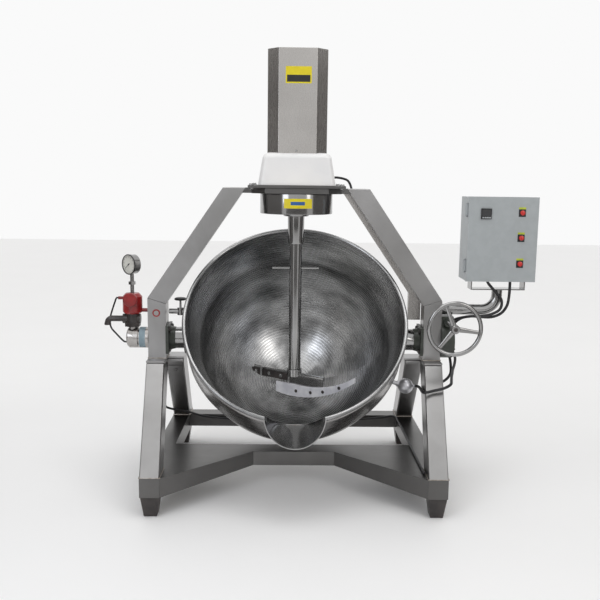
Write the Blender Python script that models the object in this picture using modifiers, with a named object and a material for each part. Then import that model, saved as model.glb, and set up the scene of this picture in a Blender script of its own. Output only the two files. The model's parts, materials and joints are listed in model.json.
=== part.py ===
"""Steam jacketed kettle on a tilting stand, with a stirring head on an arch over the bowl.

Metres, +Z up. The front, where the kettle pours, faces -Y. Names hold their side as someone
standing in front sees it: left is -X. All pieces hang from the empty "machine", which puts the
middle of the whole outline over the origin. What tilts hangs from the empty "tilt_axis" and is
modelled upright there, with the trunnion axis through its origin.
"""

import math

import bmesh
import bpy
import numpy as np
from mathutils import Matrix, Vector

# Fits that many pieces share
GAP = 0.0003  # between pieces that touch
RUNNING_GAP = 0.002  # round a shaft that turns in a bore
OVERRUN = 0.01  # how far a cutter passes the face it cuts
OVERLAP = 0.002  # how far two shapes of one piece run into each other

# Stand: square tube throughout
TUBE = 0.084
BASE_DEPTH = 1.01
BASE_HEIGHT = 0.171
FOOT_SPREAD = 1.204  # across the middles of the front feet
REAR_FOOT_SPREAD = 1.172
REAR_LEG_SPREAD = 1.124  # across the tops of the rear legs
COLUMN_SPREAD = 1.274  # across the middles of the columns
LEG_HEAD_DEPTH = 0.204  # of both legs together, under the column
JOINT_HEIGHT = 0.566
SEAT_PLATE = 0.008
KNEE_HEIGHT = 0.856  # of the outer corner where column meets arm
ARCH_HEIGHT = 1.364
ARCH_WIDTH = 0.662
FOOT_TOP = 0.08
FOOT_BOTTOM = 0.055
CROSS_HEIGHT = 0.065
CROSS_BACK = 0.067  # of the front cross member, in front of the trunnion
NOTCH_DEPTH = 0.338  # of the pouring notch in the front cross member
NOTCH_FLAT = 0.37
REAR_BEAM_BACK = 0.485
TUBE_EDGE = 0.004

# Tilting
TRUNNION_HEIGHT = 0.665
TILT_AT_REST = math.radians(49)

# Kettle
RIM_HEIGHT = 0.187  # above the trunnion axis, measured up the kettle's own axis
BOWL_RADIUS = 0.442
RIM_FLARE = 0.066  # of the rim beyond the half sphere
RIM_RADIUS = BOWL_RADIUS + RIM_FLARE
RIM_BEAD = 0.009
BOWL_WALL = 0.004
JACKET_RADIUS = 0.502
JACKET_DISH_RADIUS = 0.483
JACKET_DISH_RISE = 0.015
JACKET_WALL = 0.005
JACKET_TOP = 0.148
JACKET_SHOULDER = 0.012
KETTLE_STEPS = 40  # round the bowl and the jacket
DISH_STEPS = 7  # from rim to pole
SPOUT_HALF_WIDTH = 0.127
SPOUT_REACH = 0.112  # of the lip beyond the rim
SPOUT_DROP = 0.14
SPOUT_WALL = 0.004
# Shares of the drop where the spout is measured, the first above its rim
SPOUT_LEVELS = (-0.12, 0, 0.2, 0.4, 0.6, 0.75, 0.88, 0.97)

# Trunnions and their bearings
TRUNNION_RADIUS = 0.025
TRUNNION_BOSS_RADIUS = 0.05
TRUNNION_PAD_RADIUS = 0.075
TRUNNION_PAD = 0.008
STEAM_BORE = 0.012
BEARING_SIDE = 0.13
BEARING_FLANGE = 0.014
BEARING_BOSS = 0.028
BEARING_BOSS_RADIUS = 0.05
BEARING_BOSS_FLARE = 1.15  # of its radius, at the flange

# Tilt gearbox
WORM_MODULE = 0.0036
WHEEL_TEETH = 40
WORM_RADIUS = 0.018  # pitch radius
WORM_LENGTH = 0.052
WORM_SHAFT_RADIUS = 0.0095
WHEEL_WIDTH = 0.026
ADDENDUM_SHARE = 0.8  # of the module
DEDENDUM_SHARE = 1.1
TOOTH_SHARE = 0.43  # of the pitch, at the pitch line
PRESSURE_ANGLE = math.radians(20)
GEAR_WALL = 0.006
GEAR_CLEARANCE = 0.002
GEAR_COVER = 0.006
GEAR_BOSS = 0.03

# Handwheel
HANDWHEEL_RADIUS = 0.125
HANDWHEEL_RIM = 0.0095
HANDWHEEL_REACH = 0.2  # of its plane in front of the trunnion
HANDWHEEL_HUB_RADIUS = 0.02
HANDWHEEL_HUB = 0.04
SPOKE_WIDTH = 0.02
SPOKE_DEPTH = 0.01
FIRST_SPOKE = math.radians(112)

# Head
BEAM_HEIGHT = 0.024
SADDLE_WIDTH = 0.4
SADDLE_DEPTH = 0.33
HEAD_PLATE_WIDTH = 0.426
HEAD_PLATE_DEPTH = 0.36
HEAD_PLATE = 0.012
COVER_HEIGHT = 0.141
COVER_BOTTOM_WIDTH = 0.34
COVER_TOP_WIDTH = 0.294
COVER_BOTTOM_DEPTH = 0.34
COVER_TOP_DEPTH = 0.3
COVER_WALL = 0.004
COVER_ROUND = 0.022
HOOD_TOP = 1.96
HOOD_WIDTH = 0.262
HOOD_DEPTH = 0.27
HOOD_CHAMFER = 0.048
HOOD_WALL = 0.0025
MOTOR_RADIUS = 0.07
MOTOR_SPACE = 0.003
MOTOR_BOTTOM = 1.68
MOTOR_TOP = 1.9
MOTOR_FIN = 0.008
MOTOR_FIN_WALL = 0.003
MOTOR_FINS = 10
MOTOR_FOOT = 0.01
MOTOR_NECK_RADIUS = 0.019
DRUM_RADIUS = 0.165
DRUM_BOTTOM = 1.249
DRUM_EDGE = 0.003
COLLAR_RADIUS = 0.058
COLLAR = 0.012

# Stirrer
SHAFT_RADIUS = 0.0285
SHAFT_BOTTOM = 0.521
SHAFT_TOP = 1.63
SHAFT_COLLAR = 0.01
SLEEVE_FLANGE = 0.01
SLEEVE_TOP_RADIUS = 0.0385
SLEEVE_BOTTOM_RADIUS = 0.035
SLEEVE_BOTTOM = 1.111
CROSSBAR_DROP = 0.114  # below the sleeve
CROSSBAR_HEIGHT = SLEEVE_BOTTOM - CROSSBAR_DROP
CROSSBAR_LENGTH = 0.216
CROSSBAR_RADIUS = 0.006
ARM_AZIMUTH = math.radians(-37.4)
ARM_HEIGHT = 0.494
ARM_LEFT = 0.245
ARM_RIGHT = 0.17
ARM_WIDTH = 0.02
ARM_DEPTH = 0.012
HUB_RADIUS = 0.034
HUB = 0.034
BLADE_LEFT = 0.09
BLADE_RIGHT = 0.352
BLADE_LOW = 0.394
BLADE_ARC = 0.58
BLADE_MIDDLE = 0.058  # height of the blade at the shaft
BLADE_TIP = 0.024
BLADE_THICKNESS = 0.012
STRAP_SHARE = 0.65  # of the blade's height left below the strap that carries it
PLATE_LEFT = 0.252
PLATE_RIGHT = 0.02
PLATE_HEIGHT = 0.034
PLATE_THICKNESS = 0.008
HOOK_PLACE = 0.185
LIFT_TRAVEL = 0.09
YOKE_RADIUS = 0.038
YOKE = 0.03
LIFT_ROD_RADIUS = 0.009
LIFT_ROD_PLACE = 0.085
LIFT_ROD_GRIP = 0.025  # of the rod inside the jack when it is raised
JACK_WALL = 0.004
JACK_TOP = 1.495

# Control box
BOX_WIDTH = 0.318
BOX_HEIGHT = 0.384
BOX_DEPTH = 0.14
BOX_MIDDLE = 0.9345  # in front of the right column's side, from the kettle's middle
BOX_BOTTOM = 0.952
BOX_WALL = 0.002
DOOR_FRONT = 0.07  # in front of the trunnion axis
DOOR_DEPTH = 0.018
DOOR_SKIN = 0.002
HINGE_RADIUS = 0.006
HINGE_LENGTH = 0.05
HINGE_PLACES = (1.023, 1.276)
BUTTON_RADIUS = 0.011
BUTTON_PROUD = 0.012
BUTTON_TRAVEL = 0.004
BUTTON_INSET = 0.075  # from the door's free edge
BUTTON_HEIGHTS = (1.266, 1.153, 1.035)
CONTROLLER_SIDE = 0.048
CONTROLLER_DEPTH = 0.05
CONTROLLER_PROUD = 0.006
CONTROLLER_INSET = 0.08  # from the hinged edge
CONTROLLER_HEIGHT = 1.26
TRAY_WIDTH = 0.25
TRAY_DEPTH = 0.07
TRAY_HEIGHT = 0.045
TRAY_WALL = 0.005
PIPE_RADIUS = 0.025
PIPE_HEIGHT = 0.812
PIPE_MIDDLE = 0.94
PIPE_BEND = 0.07

# Cable duct on the right arm
DUCT_WIDTH = 0.058
DUCT_DEPTH = 0.036
DUCT_PROUD = 0.022  # beyond the arm's inner face
DUCT_INSET = 0.002  # between the column's inner face and the duct's upright
DUCT_BOTTOM = 0.752

# Steam supply, outside the left column
UNION_RADIUS = 0.045
UNION_RING_RADIUS = 0.048
UNION_LENGTH = 0.1
VALVE_MIDDLE = 0.755  # from the kettle's middle
STEAM_PIPE_RADIUS = 0.02
VALVE_BODY_RADIUS = 0.045
VALVE_BOTTOM = 0.779
VALVE_TOP = 0.873
BLOCK_WIDTH = 0.09
BLOCK_BOTTOM = 0.718
STEM_RADIUS = 0.009
GAUGE_RADIUS = 0.047
GAUGE_DEPTH = 0.034
GAUGE_RISE = 0.134  # of its middle above the valve
GAUGE_HEIGHT = VALVE_TOP + GAUGE_RISE
GAUGE_TURN = math.radians(-40)
VALVE_WHEEL_RADIUS = 0.033
VALVE_WHEEL_HEIGHT = 0.85
VALVE_WHEEL_DEPTH = 0.012
ELBOW_HEIGHT = 0.753
ELBOW_RADIUS = 0.0155
ELBOW_REACH = 0.872
ELBOW_DROP = 0.03
HOSE_RADIUS = 0.004

# On the kettle's left flank and its front right
VENT_SIDE_RADIUS = 0.012
VENT_HEIGHT = 0.125  # above the trunnion in the photographed tilt
VENT_REACH = 0.585
VENT_STEM_PLACE = 0.533
VENT_BODY = 0.034
VENT_STEM_RADIUS = 0.005
VENT_WHEEL_RADIUS = 0.029
VENT_WHEEL = 0.012
VENT_WHEEL_RISE = 0.058
PROBE_BALL_RADIUS = 0.036
PROBE_REACH = 0.515
PROBE_FORWARD = 0.08
PROBE_DROP = 0.203
PROBE_NECK_RADIUS = 0.01
PROBE_GLAND = 0.012
PROBE_GLAND_SHARE = 0.8  # of the ball's radius, where the gland starts
PROBE_GLAND_WIDTH = 1.6  # of the cable's radius
PROBE_NUT_SHARE = 0.9  # of the ball's radius, where the nut starts
PROBE_NUT_WIDTH = 1.6  # of the neck's radius
PROBE_NECK_LEFT = -0.35  # how far the neck leans left, as a share of its length
CABLE_RADIUS = 0.0055
THICK_CABLE_RADIUS = 0.0065  # of the two that come from the control box
CABLE_STEP = 0.045
CABLE_HANG = 0.498  # of the cables' ends between the legs
HOSE_FITTING = 0.02

# Plate on the rear left leg
BRACKET_HEIGHT = 0.495
BRACKET_SIDE = 0.06
BRACKET = 0.003
BRACKET_BOLT_RADIUS = 0.008

# Whole outline, from the kettle's middle
LEFT_REACH = ELBOW_REACH + ELBOW_RADIUS
RIGHT_REACH = BOX_MIDDLE + BOX_WIDTH / 2
KETTLE_X = (LEFT_REACH - RIGHT_REACH) / 2
# The spout's lip stands out further in front than the base does.
LIP_REACH = RIM_RADIUS + SPOUT_REACH + SPOUT_WALL
FRONT_REACH = LIP_REACH * math.cos(TILT_AT_REST) + RIM_HEIGHT * math.sin(TILT_AT_REST)
KETTLE_Y = (FRONT_REACH - BASE_DEPTH / 2) / 2

COLUMN_X = COLUMN_SPREAD / 2
FOOT_X = FOOT_SPREAD / 2
REAR_FOOT_X = REAR_FOOT_SPREAD / 2
REAR_LEG_X = REAR_LEG_SPREAD / 2
RAIL_BOTTOM = BASE_HEIGHT - TUBE
HALF = TUBE / 2
COLUMN_INSIDE = COLUMN_X - HALF
COLUMN_OUTSIDE = COLUMN_X + HALF


# Scene, collections and materials


def clear_scene():
    for obj in list(bpy.data.objects):
        bpy.data.objects.remove(obj, do_unlink=True)


def collection(name):
    made = bpy.data.collections.new(name)
    bpy.context.scene.collection.children.link(made)
    return made


def material(name, colour, roughness, metallic):
    made = bpy.data.materials.new(name)
    made.use_nodes = True
    shader = made.node_tree.nodes["Principled BSDF"]
    shader.inputs["Base Color"].default_value = (*colour, 1)
    shader.inputs["Roughness"].default_value = roughness
    shader.inputs["Metallic"].default_value = metallic
    return made


clear_scene()
PARTS = collection("steam_jacketed_kettle")
CUTTERS = collection("cutters")

SATIN_STEEL = material("satin_stainless", (0.30, 0.30, 0.32), 0.38, 1)
BRUSHED_STEEL = material("brushed_stainless", (0.52, 0.50, 0.48), 0.3, 1)
POLISHED_STEEL = material("polished_stainless", (0.62, 0.62, 0.63), 0.1, 1)
CAST_IRON = material("cast_iron", (0.05, 0.055, 0.05), 0.6, 1)
BRONZE = material("bronze", (0.45, 0.28, 0.12), 0.35, 1)
WHITE_COVER = material("white_cover", (0.78, 0.77, 0.75), 0.5, 0)
BOX_GREY = material("box_grey", (0.45, 0.48, 0.49), 0.45, 0)
RED_PAINT = material("red_paint", (0.55, 0.03, 0.03), 0.4, 0)
DARK_CAST = material("dark_cast", (0.08, 0.08, 0.09), 0.5, 0.6)
BLACK_PLASTIC = material("black_plastic", (0.015, 0.015, 0.017), 0.45, 0)
BLACK_RUBBER = material("black_rubber", (0.012, 0.012, 0.013), 0.6, 0)
WHITE_PTFE = material("ptfe", (0.72, 0.72, 0.74), 0.5, 0)


# Making objects


def add(name, mesh, finish, parent=None, place=(0, 0, 0), turn=(0, 0, 0), home=None):
    """An object of this mesh, hung from parent at this place and turn."""
    mesh.name = name
    obj = bpy.data.objects.new(name, mesh)
    (home or PARTS).objects.link(obj)
    if finish:
        mesh.materials.clear()
        mesh.materials.append(finish)
    obj.parent = parent
    obj.location = place
    obj.rotation_euler = turn
    return obj


def empty(name, place, parent=None, turn=(0, 0, 0)):
    made = bpy.data.objects.new(name, None)
    PARTS.objects.link(made)
    made.parent = parent
    made.location = place
    made.rotation_euler = turn
    return made


def from_bmesh(shape):
    mesh = bpy.data.meshes.new("shape")
    bmesh.ops.recalc_face_normals(shape, faces=shape.faces)
    shape.to_mesh(mesh)
    shape.free()
    return mesh


def box(low, high):
    """A box between two corners."""
    low, high = Vector(low), Vector(high)
    shape = bmesh.new()
    size = Matrix.Diagonal((*(high - low), 1))
    bmesh.ops.create_cube(shape, size=1, matrix=Matrix.Translation((low + high) / 2) @ size)
    return from_bmesh(shape)


def aimed(axis):
    """The rotation that turns +Z to this axis."""
    return Vector((0, 0, 1)).rotation_difference(Vector(axis)).to_matrix().to_4x4()


def cylinder(start, axis, length, radius, end_radius=None, sides=24):
    """A round bar or a cone that starts at a point and runs along an axis."""
    shape = bmesh.new()
    middle = Vector(start) + Vector(axis).normalized() * length / 2
    bmesh.ops.create_cone(
        shape,
        cap_ends=True,
        segments=sides,
        radius1=radius,
        radius2=radius if end_radius is None else end_radius,
        depth=length,
        matrix=Matrix.Translation(middle) @ aimed(axis),
    )
    return from_bmesh(shape)


def evaluated_mesh(obj):
    """The object's mesh with its modifiers, its doubles merged, in world space; obj is removed."""
    bpy.context.view_layer.update()
    graph = bpy.context.evaluated_depsgraph_get()
    mesh = bpy.data.meshes.new_from_object(obj.evaluated_get(graph))
    mesh.transform(obj.matrix_world)
    shape = bmesh.new()
    shape.from_mesh(mesh)
    bmesh.ops.remove_doubles(shape, verts=shape.verts, dist=GAP / 10)
    shape.to_mesh(mesh)
    shape.free()
    bpy.data.objects.remove(obj, do_unlink=True)
    return mesh


def turned(profile, steps=48, axis=(0, 0, 1), start=(0, 0, 0)):
    """A solid of revolution from (radius, height) points that go round its section clockwise."""
    mesh = bpy.data.meshes.new("profile")
    points = [(radius, 0, height) for radius, height in profile]
    count = len(points)
    mesh.from_pydata(points, [(i, (i + 1) % count) for i in range(count)], [])
    obj = add("profile", mesh, None)
    screw = obj.modifiers.new("Screw", "SCREW")
    screw.steps = steps
    screw.render_steps = steps
    screw.use_merge_vertices = True
    screw.merge_threshold = 0.0001
    made = evaluated_mesh(obj)
    shape = bmesh.new()
    shape.from_mesh(made)
    lone = [edge for edge in shape.edges if not edge.link_faces]
    bmesh.ops.delete(shape, geom=lone, context="EDGES")
    bmesh.ops.recalc_face_normals(shape, faces=shape.faces)
    shape.to_mesh(made)
    shape.free()
    made.transform(Matrix.Translation(start) @ aimed(axis))
    return made


def extruded(outline, low, high, plane="XY"):
    """A flat outline drawn in a plane, made solid from low to high along the plane's normal."""
    curve = bpy.data.curves.new("outline", "CURVE")
    curve.dimensions = "2D"
    curve.fill_mode = "BOTH"
    curve.extrude = (high - low) / 2
    spline = curve.splines.new("POLY")
    spline.points.add(len(outline) - 1)
    for point, (across, up) in zip(spline.points, outline):
        point.co = (across, up, 0, 1)
    spline.use_cyclic_u = True
    obj = bpy.data.objects.new("outline", curve)
    PARTS.objects.link(obj)
    mesh = evaluated_mesh(obj)
    mesh.transform(Matrix.Translation((0, 0, (high + low) / 2)))
    # The columns say where the outline's two directions and its normal go.
    frames = {
        "XY": ((1, 0, 0), (0, 1, 0), (0, 0, 1)),
        "XZ": ((1, 0, 0), (0, 0, 1), (0, 1, 0)),
        "YZ": ((0, 1, 0), (0, 0, 1), (1, 0, 0)),
    }
    turn = Matrix(frames[plane]).transposed().to_4x4()
    mesh.transform(turn)
    shape = bmesh.new()
    shape.from_mesh(mesh)
    return from_bmesh(shape)


def smooth_path(points, spacing):
    """Evenly spaced points on a Catmull-Rom spline through the given ones, straight at its ends."""
    points = np.array(points, float)
    ends = np.vstack([2 * points[0] - points[1], points, 2 * points[-1] - points[-2]])
    dense = []
    for a, b, c, d in zip(ends, ends[1:], ends[2:], ends[3:]):
        for t in np.linspace(0, 1, 24, endpoint=False):
            square = (2 * a - 5 * b + 4 * c - d) * t**2
            cube = (3 * b - a - 3 * c + d) * t**3
            dense.append((2 * b + (c - a) * t + square + cube) / 2)
    dense = np.array([*dense, points[-1]])
    along = np.r_[0, np.cumsum(np.linalg.norm(np.diff(dense, axis=0), axis=1))]
    length = along[-1]
    lead = spacing / 5
    even = np.linspace(3 * lead, length - 3 * lead, round(length / spacing))
    middle = np.stack([np.interp(even, along, dense[:, i]) for i in range(3)], axis=1)
    first, last = points[1] - points[0], points[-2] - points[-1]
    after = points[0] + first / np.linalg.norm(first) * lead
    before = points[-1] + last / np.linalg.norm(last) * lead
    return np.array([points[0], after, *middle, before, points[-1]])


def round_curve(points, radius, fineness=2):
    """A curve with a round section and flat ends; fineness 2 gives it 8 sides and 4 gives 12."""
    curve = bpy.data.curves.new("tube", "CURVE")
    curve.dimensions = "3D"
    curve.bevel_depth = radius
    curve.bevel_resolution = fineness
    curve.use_fill_caps = True
    spline = curve.splines.new("POLY")
    spline.points.add(len(points) - 1)
    for point, place in zip(spline.points, points):
        point.co = (*place, 1)
    return curve


def tube(points, radius, fineness=4):
    """A round bar through these points, as a mesh."""
    obj = bpy.data.objects.new("tube", round_curve(points, radius, fineness))
    PARTS.objects.link(obj)
    mesh = evaluated_mesh(obj)
    shape = bmesh.new()
    shape.from_mesh(mesh)
    return from_bmesh(shape)


def bend(corner, start, end, radius, steps=6):
    """Points round a corner between two straight runs, on an arc that touches both."""
    corner, start, end = Vector(corner), Vector(start), Vector(end)
    one, other = (start - corner).normalized(), (end - corner).normalized()
    half = one.angle(other) / 2
    middle = corner + (one + other).normalized() * radius / math.sin(half)
    first = corner + one * radius / math.tan(half)
    last = corner + other * radius / math.tan(half)
    arms = [first - middle, last - middle]
    turn = arms[0].angle(arms[1])
    axis = arms[0].cross(arms[1]).normalized()
    spins = [Matrix.Rotation(turn * i / steps, 3, axis) for i in range(steps + 1)]
    return [tuple(middle + spin @ arms[0]) for spin in spins]


def lofted(rings):
    """A closed solid through rings that hold as many points each, with flat ends."""
    shape = bmesh.new()
    rows = [[shape.verts.new(point) for point in ring] for ring in rings]
    for row, following in zip(rows, rows[1:]):
        for i in range(len(row)):
            j = (i + 1) % len(row)
            shape.faces.new((row[i], row[j], following[j], following[i]))
    shape.faces.new(rows[0][::-1])
    shape.faces.new(rows[-1])
    # A loft's quads aren't flat, and a Boolean needs flat faces.
    quads = [face for face in shape.faces if len(face.verts) == 4]
    bmesh.ops.triangulate(shape, faces=quads)
    return from_bmesh(shape)


def combine(obj, mesh, operation):
    """A Boolean of obj with a mesh given in obj's own space."""
    tool = add(obj.name + "_" + operation.lower(), mesh, None, obj.parent, home=CUTTERS)
    tool.location = obj.location
    tool.rotation_euler = obj.rotation_euler
    tool.hide_render = True
    tool.display_type = "WIRE"
    step = obj.modifiers.new(operation.title(), "BOOLEAN")
    step.operation = operation
    step.object = tool
    return obj


def cut(obj, *meshes):
    for mesh in meshes:
        combine(obj, mesh, "DIFFERENCE")
    return obj


def join(obj, *meshes):
    for mesh in meshes:
        combine(obj, mesh, "UNION")
    return obj


def rounded(obj, width, segments=1):
    step = obj.modifiers.new("Bevel", "BEVEL")
    step.width = width
    step.segments = segments
    step.limit_method = "ANGLE"
    return obj


def smooth(obj, angle=math.radians(35)):
    obj.data.shade_smooth()
    obj.data.set_sharp_from_angle(angle=angle)
    return obj


MACHINE = empty("machine", (KETTLE_X, KETTLE_Y, 0))
TILT = empty("tilt_axis", (0, 0, TRUNNION_HEIGHT), MACHINE, (TILT_AT_REST, 0, 0))


# Stand


def base_frame():
    """Two side rails, the notched cross member in front and the beam behind, welded into one."""
    front = -BASE_DEPTH / 2
    rails = []
    for side in (-1, 1):
        outline = [
            (side * (FOOT_X - HALF), front),
            (side * (FOOT_X + HALF), front),
            (side * (REAR_FOOT_X + HALF), -front),
            (side * (REAR_FOOT_X - HALF), -front),
        ]
        rails.append(extruded(outline, RAIL_BOTTOM, BASE_HEIGHT))
    base = add("base_frame", rails[0], SATIN_STEEL, MACHINE)
    inside = FOOT_X - HALF + OVERLAP
    flat = NOTCH_FLAT / 2
    notch = front + NOTCH_DEPTH
    outline = [
        (-inside, -CROSS_BACK),
        (-inside, front),
        (-flat, notch),
        (flat, notch),
        (inside, front),
        (inside, -CROSS_BACK),
    ]
    cross = extruded(outline, BASE_HEIGHT - CROSS_HEIGHT, BASE_HEIGHT)
    # The underside falls from the notch to the feet, where the member is as deep as the rail.
    fall = (TUBE - CROSS_HEIGHT) / NOTCH_DEPTH
    for vertex in cross.vertices:
        if vertex.co.z < BASE_HEIGHT - CROSS_HEIGHT / 2:
            vertex.co.z += min(0, vertex.co.y - notch) * fall
    reach = REAR_FOOT_X - HALF + 2 * OVERLAP
    beam = box(
        (-reach, REAR_BEAM_BACK - TUBE, BASE_HEIGHT - CROSS_HEIGHT),
        (reach, REAR_BEAM_BACK, BASE_HEIGHT),
    )
    join(base, rails[1], cross, beam)
    return base


def rail_x(y):
    """The middle of the right rail at a distance behind the trunnion axis."""
    return FOOT_X + (REAR_FOOT_X - FOOT_X) * (1 / 2 + y / BASE_DEPTH)


def feet():
    for name, side, end in SIDES_AND_ENDS:
        shape = bmesh.new()
        bmesh.ops.create_cone(
            shape,
            cap_ends=True,
            segments=4,
            radius1=FOOT_BOTTOM / math.sqrt(2),
            radius2=FOOT_TOP / math.sqrt(2),
            depth=RAIL_BOTTOM - GAP,
            matrix=Matrix.Rotation(math.pi / 4, 4, "Z"),
        )
        y = end * (BASE_DEPTH / 2 - HALF)
        place = (side * rail_x(y), y, (RAIL_BOTTOM - GAP) / 2)
        add("foot_" + name, from_bmesh(shape), DARK_CAST, MACHINE, place)


LEG_BOTTOM = BASE_HEIGHT + GAP
LEG_TOP = JOINT_HEIGHT - GAP
LEG_SLOPE = (BASE_DEPTH - LEG_HEAD_DEPTH) / 2 / (LEG_TOP - LEG_BOTTOM)
LEG_THICKNESS = TUBE * math.hypot(1, LEG_SLOPE)  # measured level


def leg_inside(height):
    """Distance from the trunnion's plane to the inner face of a leg at a height."""
    return BASE_DEPTH / 2 - LEG_THICKNESS - (height - LEG_BOTTOM) * LEG_SLOPE


def leg_x(height, end):
    """The middle of a right leg at a height; end is -1 for a front leg and 1 for a rear one."""
    foot, head = (FOOT_X, COLUMN_X) if end < 0 else (REAR_FOOT_X, REAR_LEG_X)
    return foot + (head - foot) * (height - LEG_BOTTOM) / (LEG_TOP - LEG_BOTTOM)


def legs():
    """Square tubes that lean together in pairs under the columns' seat plates."""
    bottom, top = LEG_BOTTOM, LEG_TOP
    front = -BASE_DEPTH / 2
    head = -LEG_HEAD_DEPTH / 2
    back = front + LEG_THICKNESS
    meet = bottom + (-GAP - back) / LEG_SLOPE
    for name, side, end in SIDES_AND_ENDS:
        outline = [(front, bottom), (back, bottom), (-GAP, meet), (-GAP, top), (head, top)]
        mesh = extruded([(-end * y, z) for y, z in outline], -HALF, HALF, "YZ")
        for vertex in mesh.vertices:
            vertex.co.x = side * (vertex.co.x + leg_x(vertex.co.z, end))
        shape = bmesh.new()
        shape.from_mesh(mesh)
        leg = add("leg_" + name, from_bmesh(shape), SATIN_STEEL, MACHINE)
        rounded(leg, TUBE_EDGE)
        if name == "rear_left":
            add_leg_bracket(leg)


SIDES_AND_ENDS = [
    ("front_left", -1, -1),
    ("front_right", 1, -1),
    ("rear_left", -1, 1),
    ("rear_right", 1, 1),
]

# The arch, as seen from the front, from the outer corner of the knee up
ARM_RUN = COLUMN_OUTSIDE - ARCH_WIDTH / 2
ARM_RISE = ARCH_HEIGHT - KNEE_HEIGHT
ARM_LENGTH = math.hypot(ARM_RUN, ARM_RISE)
ARM_ACROSS = TUBE * ARM_LENGTH / ARM_RISE  # of the arm, measured level
KNEE_FALL = TUBE * math.tan(math.atan2(ARM_RUN, ARM_RISE) / 2)
INNER_KNEE = KNEE_HEIGHT - KNEE_FALL


def arm_x(height, inwards=0):
    """X of the right arm's outer face at a height, or of a line that much further inwards."""
    outer = COLUMN_OUTSIDE - (height - KNEE_HEIGHT) * ARM_RUN / ARM_RISE
    return outer - inwards * ARM_LENGTH / ARM_RISE


def columns_and_arms():
    """Each column stands on a seat plate over its legs; a mitre joins it to its arm."""
    knee = [(COLUMN_OUTSIDE, KNEE_HEIGHT), (COLUMN_INSIDE, INNER_KNEE)]
    column = [(COLUMN_INSIDE, JOINT_HEIGHT), (COLUMN_OUTSIDE, JOINT_HEIGHT), *knee]
    arm = [
        (COLUMN_INSIDE, INNER_KNEE + GAP),
        (COLUMN_OUTSIDE, KNEE_HEIGHT + GAP),
        (arm_x(ARCH_HEIGHT), ARCH_HEIGHT),
        (arm_x(ARCH_HEIGHT, TUBE), ARCH_HEIGHT),
    ]
    head = LEG_HEAD_DEPTH / 2
    for name, side in (("left", -1), ("right", 1)):
        mesh = extruded([(side * x, z) for x, z in column], -HALF, HALF, "XZ")
        upright = add("column_" + name, mesh, SATIN_STEEL, MACHINE)
        low_x, high_x = sorted((side * COLUMN_INSIDE, side * COLUMN_OUTSIDE))
        seat = box((low_x, -head, JOINT_HEIGHT), (high_x, head, JOINT_HEIGHT + SEAT_PLATE))
        # The seat reaches inwards over the head of the rear leg.
        wing_x = sorted((side * (REAR_LEG_X - HALF), side * (COLUMN_INSIDE + OVERLAP)))
        wing = box((wing_x[0], 0, JOINT_HEIGHT), (wing_x[1], head, JOINT_HEIGHT + SEAT_PLATE))
        join(upright, seat, wing)
        bore = cylinder(
            (side * (COLUMN_INSIDE - OVERRUN), 0, TRUNNION_HEIGHT),
            (side, 0, 0),
            TUBE + 2 * OVERRUN,
            TRUNNION_RADIUS + RUNNING_GAP,
        )
        cut(upright, bore)
        mesh = extruded([(side * x, z) for x, z in arm], -HALF, HALF, "XZ")
        rounded(add("arm_" + name, mesh, SATIN_STEEL, MACHINE), TUBE_EDGE / 2)


def top_beam():
    """The bar across the arch, widened to a saddle where the head sits."""
    low = ARCH_HEIGHT - BEAM_HEIGHT
    high_x = arm_x(ARCH_HEIGHT, TUBE) - GAP
    low_x = arm_x(low, TUBE) - GAP
    bar = [(-low_x, low), (low_x, low), (high_x, ARCH_HEIGHT), (-high_x, ARCH_HEIGHT)]
    beam = add("top_beam", extruded(bar, -HALF, HALF, "XZ"), SATIN_STEEL, MACHINE)
    cut_corner = (SADDLE_DEPTH - TUBE) / 4
    x, y = SADDLE_WIDTH / 2, SADDLE_DEPTH / 2
    inner = x - cut_corner
    saddle = [(x, y - cut_corner), (inner, y), (-inner, y), (-x, y - cut_corner)]
    saddle += [(-a, -b) for a, b in saddle]
    join(beam, extruded(saddle, low, ARCH_HEIGHT))
    shaft_hole = cylinder(
        (0, 0, low - OVERRUN),
        (0, 0, 1),
        BEAM_HEIGHT + 2 * OVERRUN,
        COLLAR_RADIUS,
    )
    cut(beam, shaft_hole)


# Head on the arch

HEAD_PLATE_BOTTOM = ARCH_HEIGHT + GAP
HEAD_PLATE_TOP = HEAD_PLATE_BOTTOM + HEAD_PLATE
DRUM_TOP = ARCH_HEIGHT - BEAM_HEIGHT - GAP


def chamfered(width, depth, chamfer):
    """The eight corners of a rectangle with cut corners, counter-clockwise."""
    x, y = width / 2, depth / 2
    quarter = [(x, -y + chamfer), (x, y - chamfer), (x - chamfer, y), (-x + chamfer, y)]
    return quarter + [(-a, -b) for a, b in quarter]


def round_rectangle(width, depth, radius, height, steps=4):
    """A ring of points on a rectangle with round corners."""
    ring = []
    for quarter in range(4):
        turn = math.pi / 2 * quarter
        x = (width / 2 - radius) * (1 if quarter in (0, 3) else -1)
        y = (depth / 2 - radius) * (1 if quarter in (0, 1) else -1)
        for i in range(steps + 1):
            angle = turn + math.pi / 2 * i / steps
            ring.append((x + radius * math.cos(angle), y + radius * math.sin(angle), height))
    return ring


def cover_ring(height, inset):
    """The white cover's outline at a height above the plate, drawn in by inset."""
    share = height / COVER_HEIGHT
    wide = COVER_BOTTOM_WIDTH + (COVER_TOP_WIDTH - COVER_BOTTOM_WIDTH) * share
    deep = COVER_BOTTOM_DEPTH + (COVER_TOP_DEPTH - COVER_BOTTOM_DEPTH) * share
    # The upper edge turns over on a radius.
    over = max(0, height - COVER_HEIGHT + COVER_ROUND)
    fillet = COVER_ROUND - math.sqrt(max(0, COVER_ROUND**2 - over**2))
    base = HEAD_PLATE_TOP + GAP
    inset = inset + fillet
    return round_rectangle(wide - 2 * inset, deep - 2 * inset, COVER_ROUND, base + height)


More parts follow.
